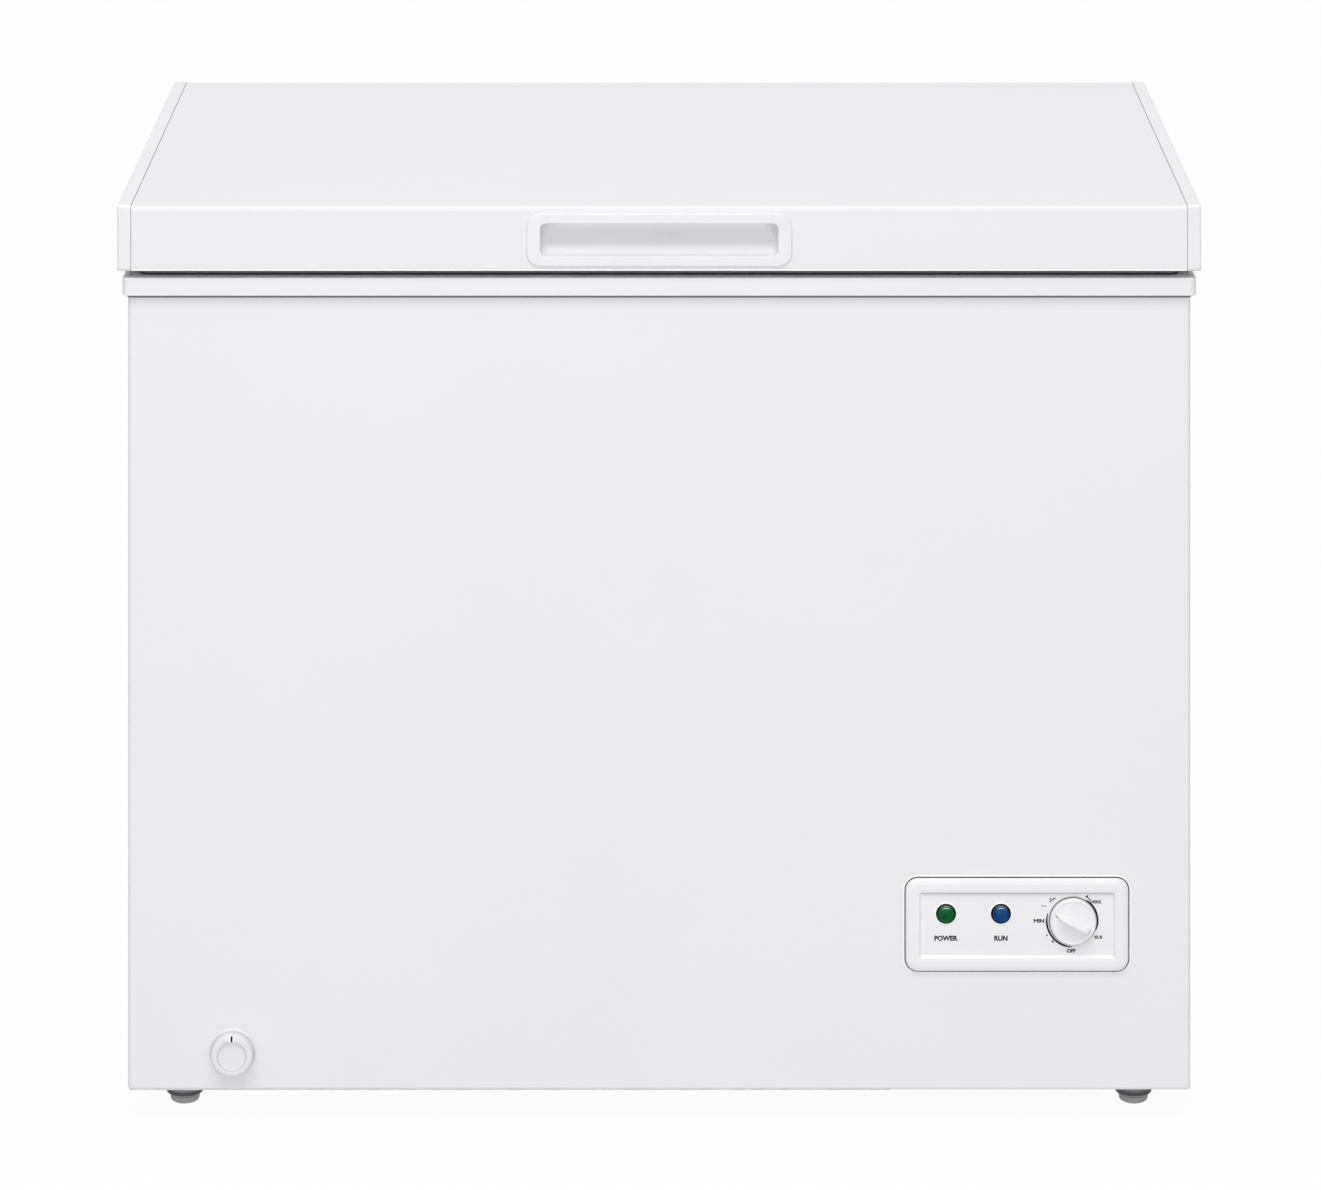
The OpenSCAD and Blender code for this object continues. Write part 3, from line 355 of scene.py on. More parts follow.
M = {
    # The lid's enamel is a touch darker than the cabinet's, which paints out the extra light that falls on
    # the lid.
    "cabinet": enamel("cabinet_enamel", "white_enamel", (0.806, 0.806, 0.8225)),
    "lid": enamel("lid_enamel", "white_enamel", (0.799, 0.7985, 0.816), 0.008),
    "trim": plastic("white_trim", "white_plastic", (0.808, 0.8085, 0.826), 0.36),
    # Darker than the other white plastics, which paints down how bright the drain's flange and cover come out
    # under the lamps.
    "outlet": plastic("outlet_plastic", "white_plastic", (0.765, 0.765, 0.781), 0.42),
    "panel": plastic("panel_abs", "white_plastic", (0.830, 0.829, 0.847), 0.34),
    "liner": enamel("liner_coat", "liner_white", (0.80, 0.81, 0.82)),
    "inner": plastic("lid_liner_plastic", "white_plastic", (0.82, 0.825, 0.83), 0.42, 0.1),
    "zinc_sheet": galvanised("galvanised_sheet", "galvanised_steel"),
    "zinc": metal("zinc_plate", "zinc", (0.5, 0.51, 0.53), (0.66, 0.66, 0.67), 0.32),
    "spring": metal("spring_wire", "spring_steel", (0.2, 0.2, 0.22), (0.34, 0.34, 0.36), 0.35),
    "copper": metal("copper_tube", "copper", (0.42, 0.19, 0.11), (0.72, 0.40, 0.26), 0.32),
    "aluminium": metal("aluminium_tube", "aluminium_tube", (0.6, 0.61, 0.62), (0.74, 0.75, 0.76), 0.35),
    "black": plastic("black_enamel", "black_enamel", (0.018, 0.018, 0.02), 0.3, 0.1, 0.2, 0.3),
    "dark": plastic("dark_plastic", "dark_plastic", (0.05, 0.05, 0.055), 0.5, 0.15, 0.1),
    "grey": plastic("grey_plastic", "grey_plastic", (0.30, 0.31, 0.32), 0.5, 0.15, 0.06),
    # Pale grey for the real drain pipe, elbow and plug, and for the painted shade strips on the panel field
    # and the drain cover.
    "pale_grey_and_shade": plastic("grey_plastic_and_painted_shade", "grey_plastic", (0.55, 0.56, 0.57), 0.45, 0.1, 0.04),
    "gasket": rubber("gasket_rubber", "gasket_rubber", (0.045, 0.046, 0.05)),
    # A paler copy of the gasket rubber that paints the highlight on the gasket's rib.
    "gasket_highlight_rib": rubber("highlight_rib_rubber", "gasket_rubber", (0.22, 0.222, 0.23), 0.2),
    "rubber": rubber("black_rubber", "black_rubber", (0.02, 0.02, 0.021)),
    "foam": foam_board("polyurethane_foam", "foam"),
    "green": lens_glass("green_lens", "green_lens", (0.0, 0.062, 0.015), (0.001, 0.140, 0.037)),
    "blue": lens_glass("blue_lens", "blue_lens", (0.0, 0.028, 0.118), (0.001, 0.074, 0.245)),
    "lamp": lens_glass("lamp_glass", "lamp", (0.6, 0.55, 0.42), (0.85, 0.8, 0.65)),
    "wire": plastic("coated_wire", "basket_wire", (0.80, 0.81, 0.82), 0.3, 0.03, 0.02, 0.4),
    "grip": plastic("blue_grip", "grip_blue", (0.03, 0.09, 0.27), 0.35, 0.1, 0.08),
    "cable": plastic("wire_insulation", "wire_insulation", (0.09, 0.09, 0.1), 0.45, 0.05, 0.1),
    "ink": ink("black_ink", (0.005, 0.005, 0.006)),
    "seam": plastic("seam_shadow", "dark_plastic", (0.04, 0.04, 0.042), 0.6, 0.1, 0.1),
    # Brightest white: the white trim round the lenses and the drain's index marks, and the painted highlights
    # along the lid's lower edge and round the panel's cut-out.
    "bright_trim_and_highlight": plastic("bright_white_and_painted_highlight", "white_plastic", (0.96, 0.96, 0.965), 0.25, 0.03, 0.005, 0.3),
    # Dark grey for the painted shadow lines under the collar and round the knob's base.
    "painted_shade_grey": plastic("shadow_line_grey_plastic", "grey_plastic", (0.15, 0.15, 0.16), 0.6, 0.1, 0.08),
    "socket": ink("black_socket", (0.003, 0.003, 0.004), "dark_plastic"),
    # Pale tint for the glint painted on the lenses.
    "painted_glint": plastic("lens_highlight_paint", "white_plastic", (0.42, 0.56, 0.56), 0.3, 0.03, 0.02),
    "foot": plastic("foot_plastic", "grey_plastic", (0.31, 0.31, 0.315), 0.5, 0.2, 0.10),
}


# ---- Places taken from the frame ----

Extent = namedtuple("Extent", "lo hi mid size")


def extent(node):
    """The box of a CAD node: corners, middle and size."""
    low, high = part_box(node)
    return Extent(low, high, (low + high) / 2, high - low)


WRAP = extent("outer_wrap")
LID = extent("lid_outer_shell")
PANEL = extent("control_panel")
FACE_Y = WRAP.lo.y
LID_FACE = LID.lo.y
WRAP_CORNER = 4 * MM


def ring_stack(sections, place):
    """Rings from sections of (width, height, corner radius, level) and, if need be, a shift up."""
    rings = []
    for w, h, r, level, *shift in sections:
        up = shift[0] if shift else 0.0
        rings.append([place(u, v + up, level) for u, v in round_rect(w, h, r)])
    return rings


def stacked(name, sections, place, material, body, node=None, loop=False, sharp=35):
    """A mesh piece drawn over sections of a round-cornered rectangle."""
    verts, faces = loft(ring_stack(sections, place), loop=loop)
    return add_mesh(name, verts, faces, material, body, node, sharp)


def grown(w, h, r, profile):
    """Sections that follow (outward, level) steps from one rectangle."""
    return [(w + 2 * out, h + 2 * out, max(r + out, 0.3 * MM), level) for out, level in profile]


def box_part(lo, hi):
    """Vertices and faces of a box between two corners."""
    x, y, z = zip(lo, hi)
    verts = [(a, b, c) for a in x for b in y for c in z]
    faces = [(0, 1, 3, 2), (4, 6, 7, 5), (0, 4, 5, 1), (2, 3, 7, 6), (0, 2, 6, 4), (1, 5, 7, 3)]
    return verts, faces


def cut(piece, *parts):
    """Takes closed parts away from a piece, once, in its mesh."""
    verts, faces = joined(*parts)
    mesh = bpy.data.meshes.new("cutter")
    mesh.from_pydata(verts, [], faces)
    tool = bpy.data.objects.new("cutter", mesh)
    bpy.context.scene.collection.objects.link(tool)
    step = piece.modifiers.new("cut", "BOOLEAN")
    step.operation = "DIFFERENCE"
    step.solver = "EXACT"
    step.object = tool
    bpy.context.view_layer.update()
    depsgraph = bpy.context.evaluated_depsgraph_get()
    kept = bpy.data.meshes.new_from_object(piece.evaluated_get(depsgraph))
    piece.modifiers.remove(step)
    piece.data = kept
    bpy.data.objects.remove(tool)


# ---- Cabinet ----


def cabinet_sheet():
    """Front and end sheets in one wrap with a hemmed foot, open at the back but for two returns."""
    w, d, r = WRAP.size.x, WRAP.size.y, WRAP_CORNER
    z0, z1, t = WRAP.lo.z, WRAP.hi.z, SHEET
    bend, hem, flange, sharp = 3.2 * MM, 14 * MM, 20 * MM, 50
    profile = [(0, z1), (0, z0 + bend)]
    profile += [(-bend * (1 - math.cos(a)), z0 + bend * (1 - math.sin(a)))
                for a in (math.pi / 16 * k for k in range(1, 9))]
    profile += [(-hem, z0), (-hem, z0 + t), (-bend, z0 + t), (-t, z0 + bend + t), (-t, z1)]
    half_return = w / 2 - flange
    path = []
    for out, level in profile:
        loop = round_rect(w + 2 * out, d + 2 * out, max(r + out, 0.4 * MM))
        back = d / 2 + out
        corner = len(loop) // 4
        ring = [(-half_return, back)] + loop[corner:] + loop[:corner] + [(half_return, back)]
        path.append([(WRAP.mid.x + u, WRAP.mid.y + v, level) for u, v in ring])
    rings = [[line[i] for line in path] for i in range(len(path[0]))]
    verts, faces = loft(rings)
    piece = add_mesh("cabinet_sheet", verts, faces, M["cabinet"], "cabinet", "outer_wrap", sharp)
    deep, long, tall = 4 * MM, 44 * MM, 3 * MM
    cut(piece, *(box_part((w / 2 - deep, y - long, z - tall), (w / 2 + deep, y + long, z + tall))
                 for y, z in side_slots()))
    piece.data.set_sharp_from_angle(angle=math.radians(sharp))


def side_slots():
    """Middles (y, z) of the air slots in the right-hand end: two columns of nine."""
    first = WRAP.mid.y + 70 * MM
    return [(first + column * 110 * MM, WRAP.lo.z + (70 + row * 16) * MM)
            for column in range(2) for row in range(9)]


def side_louvres():
    """Pressed hoods over the air slots in the right-hand end."""
    parts = []
    x = WRAP.hi.x
    half_long, stand_out, half_tall = 47, 3.2 * MM, 5.5 * MM
    for y, z in side_slots():
        rings = []
        for k in range(13):
            t = -1 + k / 6
            reach = math.sqrt(max(0.0, 1 - t ** 4))
            bulge = stand_out * reach + 0.05 * MM
            drop = half_tall * (0.55 + 0.45 * reach)
            at = y + t * half_long * MM
            rings.append([
                (x - 0.4 * MM, at, z + drop), (x + bulge * 0.55, at, z + drop * 0.8),
                (x + bulge, at, z + drop * 0.2), (x + bulge, at, z - drop * 0.5),
                (x + bulge - 0.6 * MM * reach, at, z - drop * 0.5),
                (x + bulge * 0.45 - 0.3 * MM, at, z + drop * 0.62), (x - 0.8 * MM, at, z + drop * 0.75),
            ])
        parts.append(loft(rings))
    add_mesh("side_louvres", *joined(*parts), M["cabinet"], "cabinet", sharp=50)


def collar():
    """Moulded ring round the mouth, with a groove for the lid's gasket, and a dark grey strip below it that
    paints the shadow line under the collar.
    """
    lo, hi, mid, size = extent("top_collar")
    tub = extent("inner_liner").size
    z0, z1 = lo.z, hi.z
    outer = grown(size.x, size.y, 6 * MM, near(
        0, z0, (-9, 0.1), (-0.9, 0.1), (-0.25, 0.5), (0, 1.2)) + near(
        0, z1, (0, -2.0), (-0.15, -1.2), (-0.6, -0.55), (-1.2, -0.15), (-2.0, 0), (-6.2, 0),
        (-6.8, -0.9), (-7.6, -0.9), (-8.2, 0)))
    inner = grown(tub.x - 2 * MM, tub.y - 2 * MM, 20 * MM, near(
        0, z1, (14, 0), (12.6, -0.5), (11, -1.6), (3, -1.6), (1, -2.4), (0, -4)) + near(0, z0, (0, 0.1)))
    # A dark grey strip just under the collar paints the shadow line between the collar and the sheet below
    # it.
    seal = grown(WRAP.size.x, WRAP.size.y, WRAP_CORNER, near(
        0, z0, (0.9, -2.3), (0.9, 0.3), (-0.2, 0.3), (-0.2, -2.3)))
    stacked("collar_shadow_line", seal, upright(WRAP.mid.x, WRAP.mid.y, 0), M["painted_shade_grey"], "cabinet",
            loop=True, sharp=60)
    stacked("top_collar_moulding", outer + inner, upright(mid.x, mid.y, 0), M["trim"], "cabinet",
            "top_collar", loop=True)


# ---- Lid ----

LID_HOLE = (227 * MM, 38 * MM, 5 * MM)
LID_BENDS = {1: 2.2, 2: 4.6, 3: 4.6, 4: 2.2}


def lid_sheet():
    """Folded lid skin: top, front and back skirts with a round top bend and a closed hem below."""
    y0, y1, z0, z1 = LID.lo.y, LID.hi.y, LID.lo.z, LID.hi.z
    t, hem, sharp = SHEET, 12 * MM, 30
    outer = [(y0 + hem, z0), (y0, z0), (y0, z1), (y1, z1), (y1, z0), (y1 - hem, z0)]
    inner = [(y1 - hem, z0 + t), (y1 - t, z0 + t), (y1 - t, z1 - t), (y0 + t, z1 - t),
             (y0 + t, z0 + t), (y0 + hem, z0 + t)]
    outline = []
    for points, less in ((outer, 0.0), (inner, 1.0)):
        for i, point in enumerate(points):
            if i not in LID_BENDS:
                outline.append(point)
                continue
            reach = max(LID_BENDS[i] - less, 0.5) * MM
            here = Vector(point)
            a = here + (Vector(points[i - 1]) - here).normalized() * reach
            b = here + (Vector(points[i + 1]) - here).normalized() * reach
            for s in (k / 8 for k in range(9)):
                outline.append(tuple(a * (1 - s) ** 2 + here * 2 * s * (1 - s) + b * s * s))
    piece = add_mesh("lid_skin", *prism(outline, "x", LID.lo.x, LID.hi.x), M["lid"], "lid",
                     "lid_outer_shell", sharp)
    mid = extent("lid_handle").mid
    hole = [(*LID_HOLE, -6 * MM), (*LID_HOLE, 6 * MM)]
    cut(piece, loft(ring_stack(hole, on_front(mid.x, LID_FACE, mid.z))))
    piece.data.set_sharp_from_angle(angle=math.radians(sharp))


def lid_hem_highlight():
    """Rolled bead along the lower front edge of the lid skin, in the brightest white, that paints the
    highlight on that edge.
    """
    y, z, inset = LID_FACE, LID.lo.z, 0.3 * MM
    points = [(y + 0.9 * MM, z - 0.75 * MM)]
    points += [(y + 0.45 * MM - 0.75 * MM * math.sin(a), z + 0.05 * MM - 0.8 * MM * math.cos(a))
               for a in (math.pi * k / 8 for k in range(9))]
    points.append((y + 0.9 * MM, z + 0.85 * MM))
    add_mesh("lid_hem_highlight", *prism(points, "x", LID.lo.x + inset, LID.hi.x - inset), M["bright_trim_and_highlight"], "lid", sharp=40)


def lid_edge_strips():
    """Flat closing strips under the lid's ends, between the liner and the end caps."""
    liner_edge = extent("lid_inner_panel").hi.x
    for side, name in ((-1, "lid_edge_strip_left"), (1, "lid_edge_strip_right")):
        inner, outer = side * (liner_edge + 0.1 * MM), side * (LID.hi.x - 0.2 * MM)
        verts, faces = box_part((min(inner, outer), LID.lo.y + 2 * MM, LID.lo.z + 0.2 * MM),
                                (max(inner, outer), LID.hi.y - 2 * MM, LID.lo.z + 1.4 * MM))
        add_mesh(name, verts, faces, M["inner"], "lid", sharp=30, bevel=0.3 * MM)


def lid_cap(side, name, node):
    """Moulded end cap: rounded outer face with a shallow panel, and a fine step at the seam."""
    cap = extent(node)
    seam = LID.lo.x if side < 0 else LID.hi.x

    def place(u, v, level):
        return (seam + side * level, cap.mid.y + u, cap.mid.z + v)

    sections = grown(cap.size.y, cap.size.z, 3.4 * MM, near(
        0, 0, (-4, -2), (-2.6, -1), (-2.6, 0.45), (-0.35, 0.45), (0, 0.8), (0, 10.8), (-0.2, 11.8),
        (-0.65, 12.5), (-1.4, 12.9), (-2.4, 13), (-6.2, 13), (-7.0, 12.3), (-9, 12.1)))
    stacked(name, sections, place, M["trim"], "lid", node)


RECESS_W, RECESS_H, RECESS_R = 219 * MM, 30 * MM, 5 * MM
SCOOP = (
    # (narrower by, lower by, corner radius, level, shift up), all in millimetres
    (0.8, 0.8, 5.2, -5, 0.1), (1.6, 2.4, 5.8, -8, 0.7), (3, 5.2, 6.2, -11, 1.9), (6, 9.0, 6.5, -14, 3.6),
    (10, 13.2, 6.5, -17, 5.6), (16, 17.6, 5.5, -19.5, 7.6), (24, 22.0, 3.6, -21.2, 9.4),
    (34, 25.6, 2, -21.9, 11.0),
)


def handle():
    """Recessed pull: raised bezel and a scoop that runs deeper and higher at the back."""
    mid, size = extent("lid_handle")[2:]
    shell = (RECESS_W + 5 * MM, RECESS_H + 5 * MM, 5 * MM)
    sections = [(*shell, -24.4 * MM), (*shell, -0.6 * MM)]
    sections += grown(size.x, size.z, 13 * MM, near(
        0, 0, (-0.6, -0.6), (0, 0), (0, 0.9), (-0.15, 1.3), (-0.75, 1.85), (-1.2, 2.0)))
    sections += grown(RECESS_W, RECESS_H, RECESS_R, near(
        0, 0, (1.0, 2.0), (0.5, 1.85), (0.15, 1.4), (0, 0.6), (-0.2, -3)))
    sections += [(RECESS_W - w * MM, RECESS_H - h * MM, r * MM, level * MM, up * MM)
                 for w, h, r, level, up in SCOOP]
    stacked("lid_handle_moulding", sections, on_front(mid.x, LID_FACE, mid.z), M["trim"], "lid",
            "lid_handle", sharp=40)


def gasket():
    """Bellows seal under the lid, and a rib along its outer edge in paler rubber that paints the highlight on
    the seal.
    """
    lo, hi, mid, size = extent("lid_gasket")
    place = upright(mid.x, mid.y, 0)
    body = grown(size.x, size.y, 8 * MM, near(
        0, lo.z, (-0.4, 0), (-19.4, 0), (-20, 0.6), (-19.6, 2.2), (-16.5, 3.0), (-16.5, 4.6)) + near(
        0, hi.z, (-19.8, -2.2), (-20, 0), (0, 0)) + near(
        0, lo.z, (0, 4.0), (-0.9, 3.7), (-2.2, 3.6), (-2.2, 1.5), (-0.9, 1.4), (0, 1.1), (0, 0.4)))
    stacked("gasket_bellows", body, place, M["gasket"], "lid", "lid_gasket", loop=True, sharp=60)
    # A rib in paler rubber along the seal's outer edge paints the highlight on the gasket.
    rib = grown(size.x, size.y, 8 * MM, near(
        0, lo.z, (-2.3, 1.7), (-2.3, 3.4), (-0.8, 3.4), (-0.15, 3.0), (0, 2.55), (-0.15, 2.1), (-0.8, 1.7)))
    stacked("gasket_highlight_rib", rib, place, M["gasket_highlight_rib"], "lid", loop=True, sharp=60)


# ---- Back ----


def back_details():
    """Pressed beads that stiffen the back sheet, and the screws that hold it."""
    low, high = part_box("back_panel")
    grille_low, grille_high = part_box("rear_grille")
    y = high.y
    beads = []
    gap = 24 * MM
    top_z, split_z, foot_z = high.z - 110 * MM, grille_high.z + 26 * MM, low.z + 26 * MM
    for x0, x1, z0, z1 in (
        (low.x + gap, -14 * MM, split_z, top_z), (14 * MM, high.x - gap, split_z, top_z),
        (low.x + gap, -140 * MM, foot_z, split_z - gap),
        (-116 * MM, grille_low.x - gap, foot_z, split_z - gap),
    ):
        sections = grown(x1 - x0, z1 - z0, 26 * MM, near(
            0, 0, (-5, -0.3), (-5, 0.05), (-3.4, 0.7), (-1.4, 1.25), (0, 1.4), (1.4, 1.25), (3.4, 0.7),
            (5, 0.05), (5, -0.3)))
        beads.append(loft(ring_stack(sections, on_back((x0 + x1) / 2, y, (z0 + z1) / 2)), loop=True))
    add_mesh("back_panel_beads", *joined(*beads), M["zinc_sheet"], "cabinet", sharp=50)
    edge_x = 458
    places = [(x * MM, z) for x in (-edge_x, -230, 0, 215, edge_x) for z in (low.z + 9 * MM, high.z - 9 * MM)]
    places += [(-edge_x * MM, z * MM) for z in (190, 340, 490, 640)]
    places += [(edge_x * MM, z * MM) for z in (340, 490, 640)]
    line = near(0, 0, (3.9, -0.2), (3.9, 0.3))
    line += [(3.9 * MM * math.cos(a), 0.3 * MM + 1.7 * MM * math.sin(a)) for a in (0.35, 0.7, 1.05, 1.4)]
    line += near(0, 0, (0.9, 1.95), (0.6, 0.9), (0.03, 0.8))
    heads = [loft(turned(line, on_back(x, y, z), 20)) for x, z in places]
    add_mesh("back_panel_screws", *joined(*heads), M["zinc"], "cabinet", sharp=40)


# ---- Control panel ----

PANEL_CORNER = 11.5 * MM
FIELD_LEVEL = 1.6 * MM
FIELD_Y = FACE_Y - FIELD_LEVEL


def panel_moulding():
    """Rounded frame with a broad soft rim, and the printed field sunk inside it."""
    mid = PANEL.mid
    w, h, r = PANEL.size.x, PANEL.size.z, PANEL_CORNER
    top = FACE_Y - PANEL.lo.y
    rim = near(0, 0, (0, -0.6), (0, 0.4), (-0.2, 1.2))
    for k in range(1, 9):
        a = math.pi / 2 * k / 8
        rim.append((-0.2 * MM - 5.8 * MM * (1 - math.cos(a)), 1.2 * MM + (top - 1.2 * MM) * math.sin(a)))
    rim += near(0, top, (-9.5, 0), (-12.2, -0.1), (-12.9, -0.5))
    rim += near(0, FIELD_LEVEL, (-14.0, 0.3), (-14.4, 0))
    field_from, lift = -13.5 * MM, 0.9 * MM
    sections = [(w + 2 * out, h + 2 * out, max(r + out, 2.2 * MM), level, lift if out < field_from else 0.0)
                for out, level in rim]
    place = on_front(mid.x, FACE_Y, mid.z)
    stacked("panel_moulding", sections, place, M["panel"], "cabinet", "control_panel", sharp=60)
    line = grown(w, h, r, near(0, 0, (0.85, 0.02), (0.85, 0.5), (-0.3, 0.5), (-0.3, 0.02)))
    stacked("panel_shadow_seal", line, place, M["seam"], "cabinet", loop=True, sharp=60)
    # A pressed lip round the cut-out, in the brightest white, paints the bright outline round the panel.
    lip = grown(w, h, r, near(
        0, 0, (2.3, -0.1), (2.2, 0.12), (1.7, 0.3), (1.1, 0.3), (0.85, 0.1), (0.85, -0.1)))
    stacked("panel_cutout_highlight_lip", lip, place, M["bright_trim_and_highlight"], "cabinet", loop=True, sharp=60)
    # A pale grey strip along the top inner edge of the field paints the shade that the rim casts there.
    reach, edge = w / 2 - 14.8 * MM, mid.z + h / 2 - 13.1 * MM
    low, high = edge - 1.5 * MM, edge + 0.2 * MM
    step = prism([(mid.x - reach, low), (mid.x + reach, low), (mid.x + reach, high), (mid.x - reach, high)],
                 "y", FIELD_Y - 0.05 * MM, FIELD_Y + 0.2 * MM)
    add_mesh("panel_field_shadow_strip", *step, M["pale_grey_and_shade"], "cabinet", sharp=30)


def dome(name, x, z, y, radius, height, material, node):
    """A small lens: a short wall and a low crown."""
    wall = 0.25 * MM
    profile = [(radius, -1.2 * MM), (radius, wall)]
    profile += [(radius * math.cos(a), wall + height * math.sin(a))
                for a in (math.pi / 2 * k / 10 for k in range(1, 10))]
    profile.append((0.02 * MM, wall + height))
    spun(name, profile, on_front(x, y, z), 64, material, "cabinet", node)


LENS_RADIUS, LENS_CROWN, LENS_DROP = 7.6 * MM, 1.5 * MM, 0.8 * MM
LENS_Z, LABEL_Z = PANEL.mid.z + 10.3 * MM, PANEL.mid.z - 12.4 * MM
POWER_X, RUN_X = PANEL.mid.x - 65.6 * MM, PANEL.mid.x - 14.9 * MM


def indicator(label, x, material, node):
    """A lens in a black socket, with a white collar round it and a curved pale strip on it that paints the
    glint.
    """
    place = on_front(x, FIELD_Y, LENS_Z)
    ring = near(0, 0, (10.6, -0.5), (10.6, 0.1), (10.2, 0.55), (9.7, 0.75), (9.35, 0.6), (9.25, 0.1),
                (9.25, -0.5))
    spun(f"{label}_collar", ring, place, 72, M["bright_trim_and_highlight"], "cabinet", sharp=60, loop=True)
    socket = near(0, 0, (9.3, -0.4), (9.3, 0.3), (8.8, 0.5), (7.4, 0.45), (7.0, -0.4))
    spun(f"{label}_socket", socket, place, 72, M["socket"], "cabinet", sharp=60, loop=True)
    centre_z = LENS_Z - LENS_DROP
    dome(f"{label}_lens", x, centre_z, FIELD_Y, LENS_RADIUS, LENS_CROWN, material, node)
    on_lens = on_front(x, FIELD_Y, centre_z)
    # A pale strip laid on the lens paints its glint.
    painted_glint = []
    for k in range(17):
        a = math.radians(58 + 64 * k / 16)
        thick = 0.42 * MM * math.sin(math.pi * (k + 0.6) / 17.2)
        ends = []
        for radius in (6.2 * MM - thick, 6.2 * MM + thick):
            rise = 0.27 * MM + LENS_CROWN * math.sqrt(max(0.0, 1 - (radius / LENS_RADIUS) ** 2))
            ends += [on_lens(radius * math.cos(a), radius * math.sin(a), rise + lift)
                     for lift in (-0.1 * MM, 0.03 * MM)]
        painted_glint.append([ends[0], ends[2], ends[3], ends[1]])
    add_mesh(f"{label}_glint", *loft(painted_glint), M["painted_glint"], "cabinet", sharp=60)


PRINT_UP, PRINT_SINK = 0.05 * MM, 0.1 * MM


def print_words(words, x, z, height, width, name=None):
    """A word printed on the sunk field, as a thin closed mesh of the given size."""
    curve = bpy.data.curves.new("word", "FONT")
    curve.body = words
    curve.align_x = "CENTER"
    curve.align_y = "CENTER"
    curve.size = 1.0
    curve.extrude = 0.5
    curve.bevel_depth = 0.045
    curve.bevel_resolution = 0
    curve.resolution_u = 3
    word = bpy.data.objects.new("word", curve)
    bpy.context.scene.collection.objects.link(word)
    bpy.context.view_layer.update()
    mesh = bpy.data.meshes.new_from_object(word.evaluated_get(bpy.context.evaluated_depsgraph_get()))
    bpy.data.objects.remove(word)
    low, high = ([pick(v.co[i] for v in mesh.vertices) for i in range(2)] for pick in (min, max))
    sx = width / (high[0] - low[0])
    sy = height / (high[1] - low[1])
    for v in mesh.vertices:
        u = (v.co.x - (low[0] + high[0]) / 2) * sx
        w = (v.co.y - (low[1] + high[1]) / 2) * sy
        v.co = (x + u, FIELD_Y + (-PRINT_UP if v.co.z > 0 else PRINT_SINK), z + w)
    piece = bpy.data.objects.new(name or f"print_{words}", mesh)
    bpy.context.scene.collection.objects.link(piece)
    dress(piece, M["ink"], "cabinet")


def print_arc(name, x, z, radius, start, end, thick):
    """A printed stroke along a circle; angles in degrees, anticlockwise from the right."""
    rings = []
    count = max(8, int(abs(end - start) / 4))
    for k in range(count + 1):
        s = k / count
        a = math.radians(start + (end - start) * s)
        half = thick / 2 * min(1.0, 0.35 + 4 * min(s, 1 - s))
        rings.append([
            (x + rr * math.cos(a), FIELD_Y - up, z + rr * math.sin(a))
            for rr, up in ((radius - half, -PRINT_SINK), (radius + half, -PRINT_SINK),
                           (radius + half, PRINT_UP), (radius - half, PRINT_UP))
        ])
    add_mesh(name, *loft(rings), M["ink"], "cabinet", sharp=60)


def print_bar(name, x, z, y, length, thick, turn, body="cabinet", up=PRINT_UP):
    """A straight printed stroke, turned by `turn` degrees."""
    ca, sa = math.cos(math.radians(turn)), math.sin(math.radians(turn))
    outline = [(u * length / 2, v * thick / 2) for u, v in ((-1, -1), (1, -1), (1, 1), (-1, 1))]
    corners = [(x + u * ca - v * sa, z + u * sa + v * ca) for u, v in outline]
    add_mesh(name, *prism(corners, "y", y - up, y + PRINT_SINK), M["ink"], body, sharp=60)


DIAL_FACE = 4.8 * MM


def dial():
    """Knob with a rolled rim, a low crown and a grip ridge that widens towards its tail."""
    lo, hi, mid, size = extent("temperature_knob")
    r, foot, face = size.x / 2 - 1.4 * MM, hi.y, DIAL_FACE
    place = on_front(mid.x, foot, mid.z)
    profile = near(r, 0, (-1.5, 0), (-0.4, 0.1), (0, 0.7), (-0.15, 2.4)) + near(
        r, face, (-0.5, -1.2), (-0.9, -0.4), (-1.6, 0), (-2.3, -0.1), (-2.9, -0.45), (-3.6, -0.5),
        (-9, -0.35)) + near(0, face, (0.05, -0.2))
    spun("dial_body", profile, place, 96, M["panel"], "temperature_dial", "temperature_knob")
    back = extent("thermostat_shaft").hi.y
    front = foot - face
    stub = near(0, back, (0.03, 0), (2.8, 0), (3.0, -0.3)) + near(
        0, front, (3.0, 1.2), (2.7, 0.9), (0.03, 0.9))
    spun("dial_spindle", [(radius, mid.y - y) for radius, y in stub], on_front(mid.x, mid.y, mid.z), 32,
         M["zinc"], "temperature_dial", "thermostat_shaft", 40)
    base = near(r, 0, (-3, -0.2), (0.75, -0.2), (0.75, 0.5), (-3, 0.5))
    spun("dial_shadow_ring", base, place, 96, M["painted_shade_grey"], "temperature_dial", sharp=60, loop=True)
    dial_grip(r, foot - lo.y - 1.0 * MM, place)
    tip, at = r - 6.2 * MM, math.radians(160)
    mark = place(tip * math.cos(at), tip * math.sin(at), 0)
    print_bar("dial_mark", mark[0], mark[2], foot - (face - 0.32 * MM), 2.6 * MM, 0.7 * MM, 165,
              "temperature_dial")


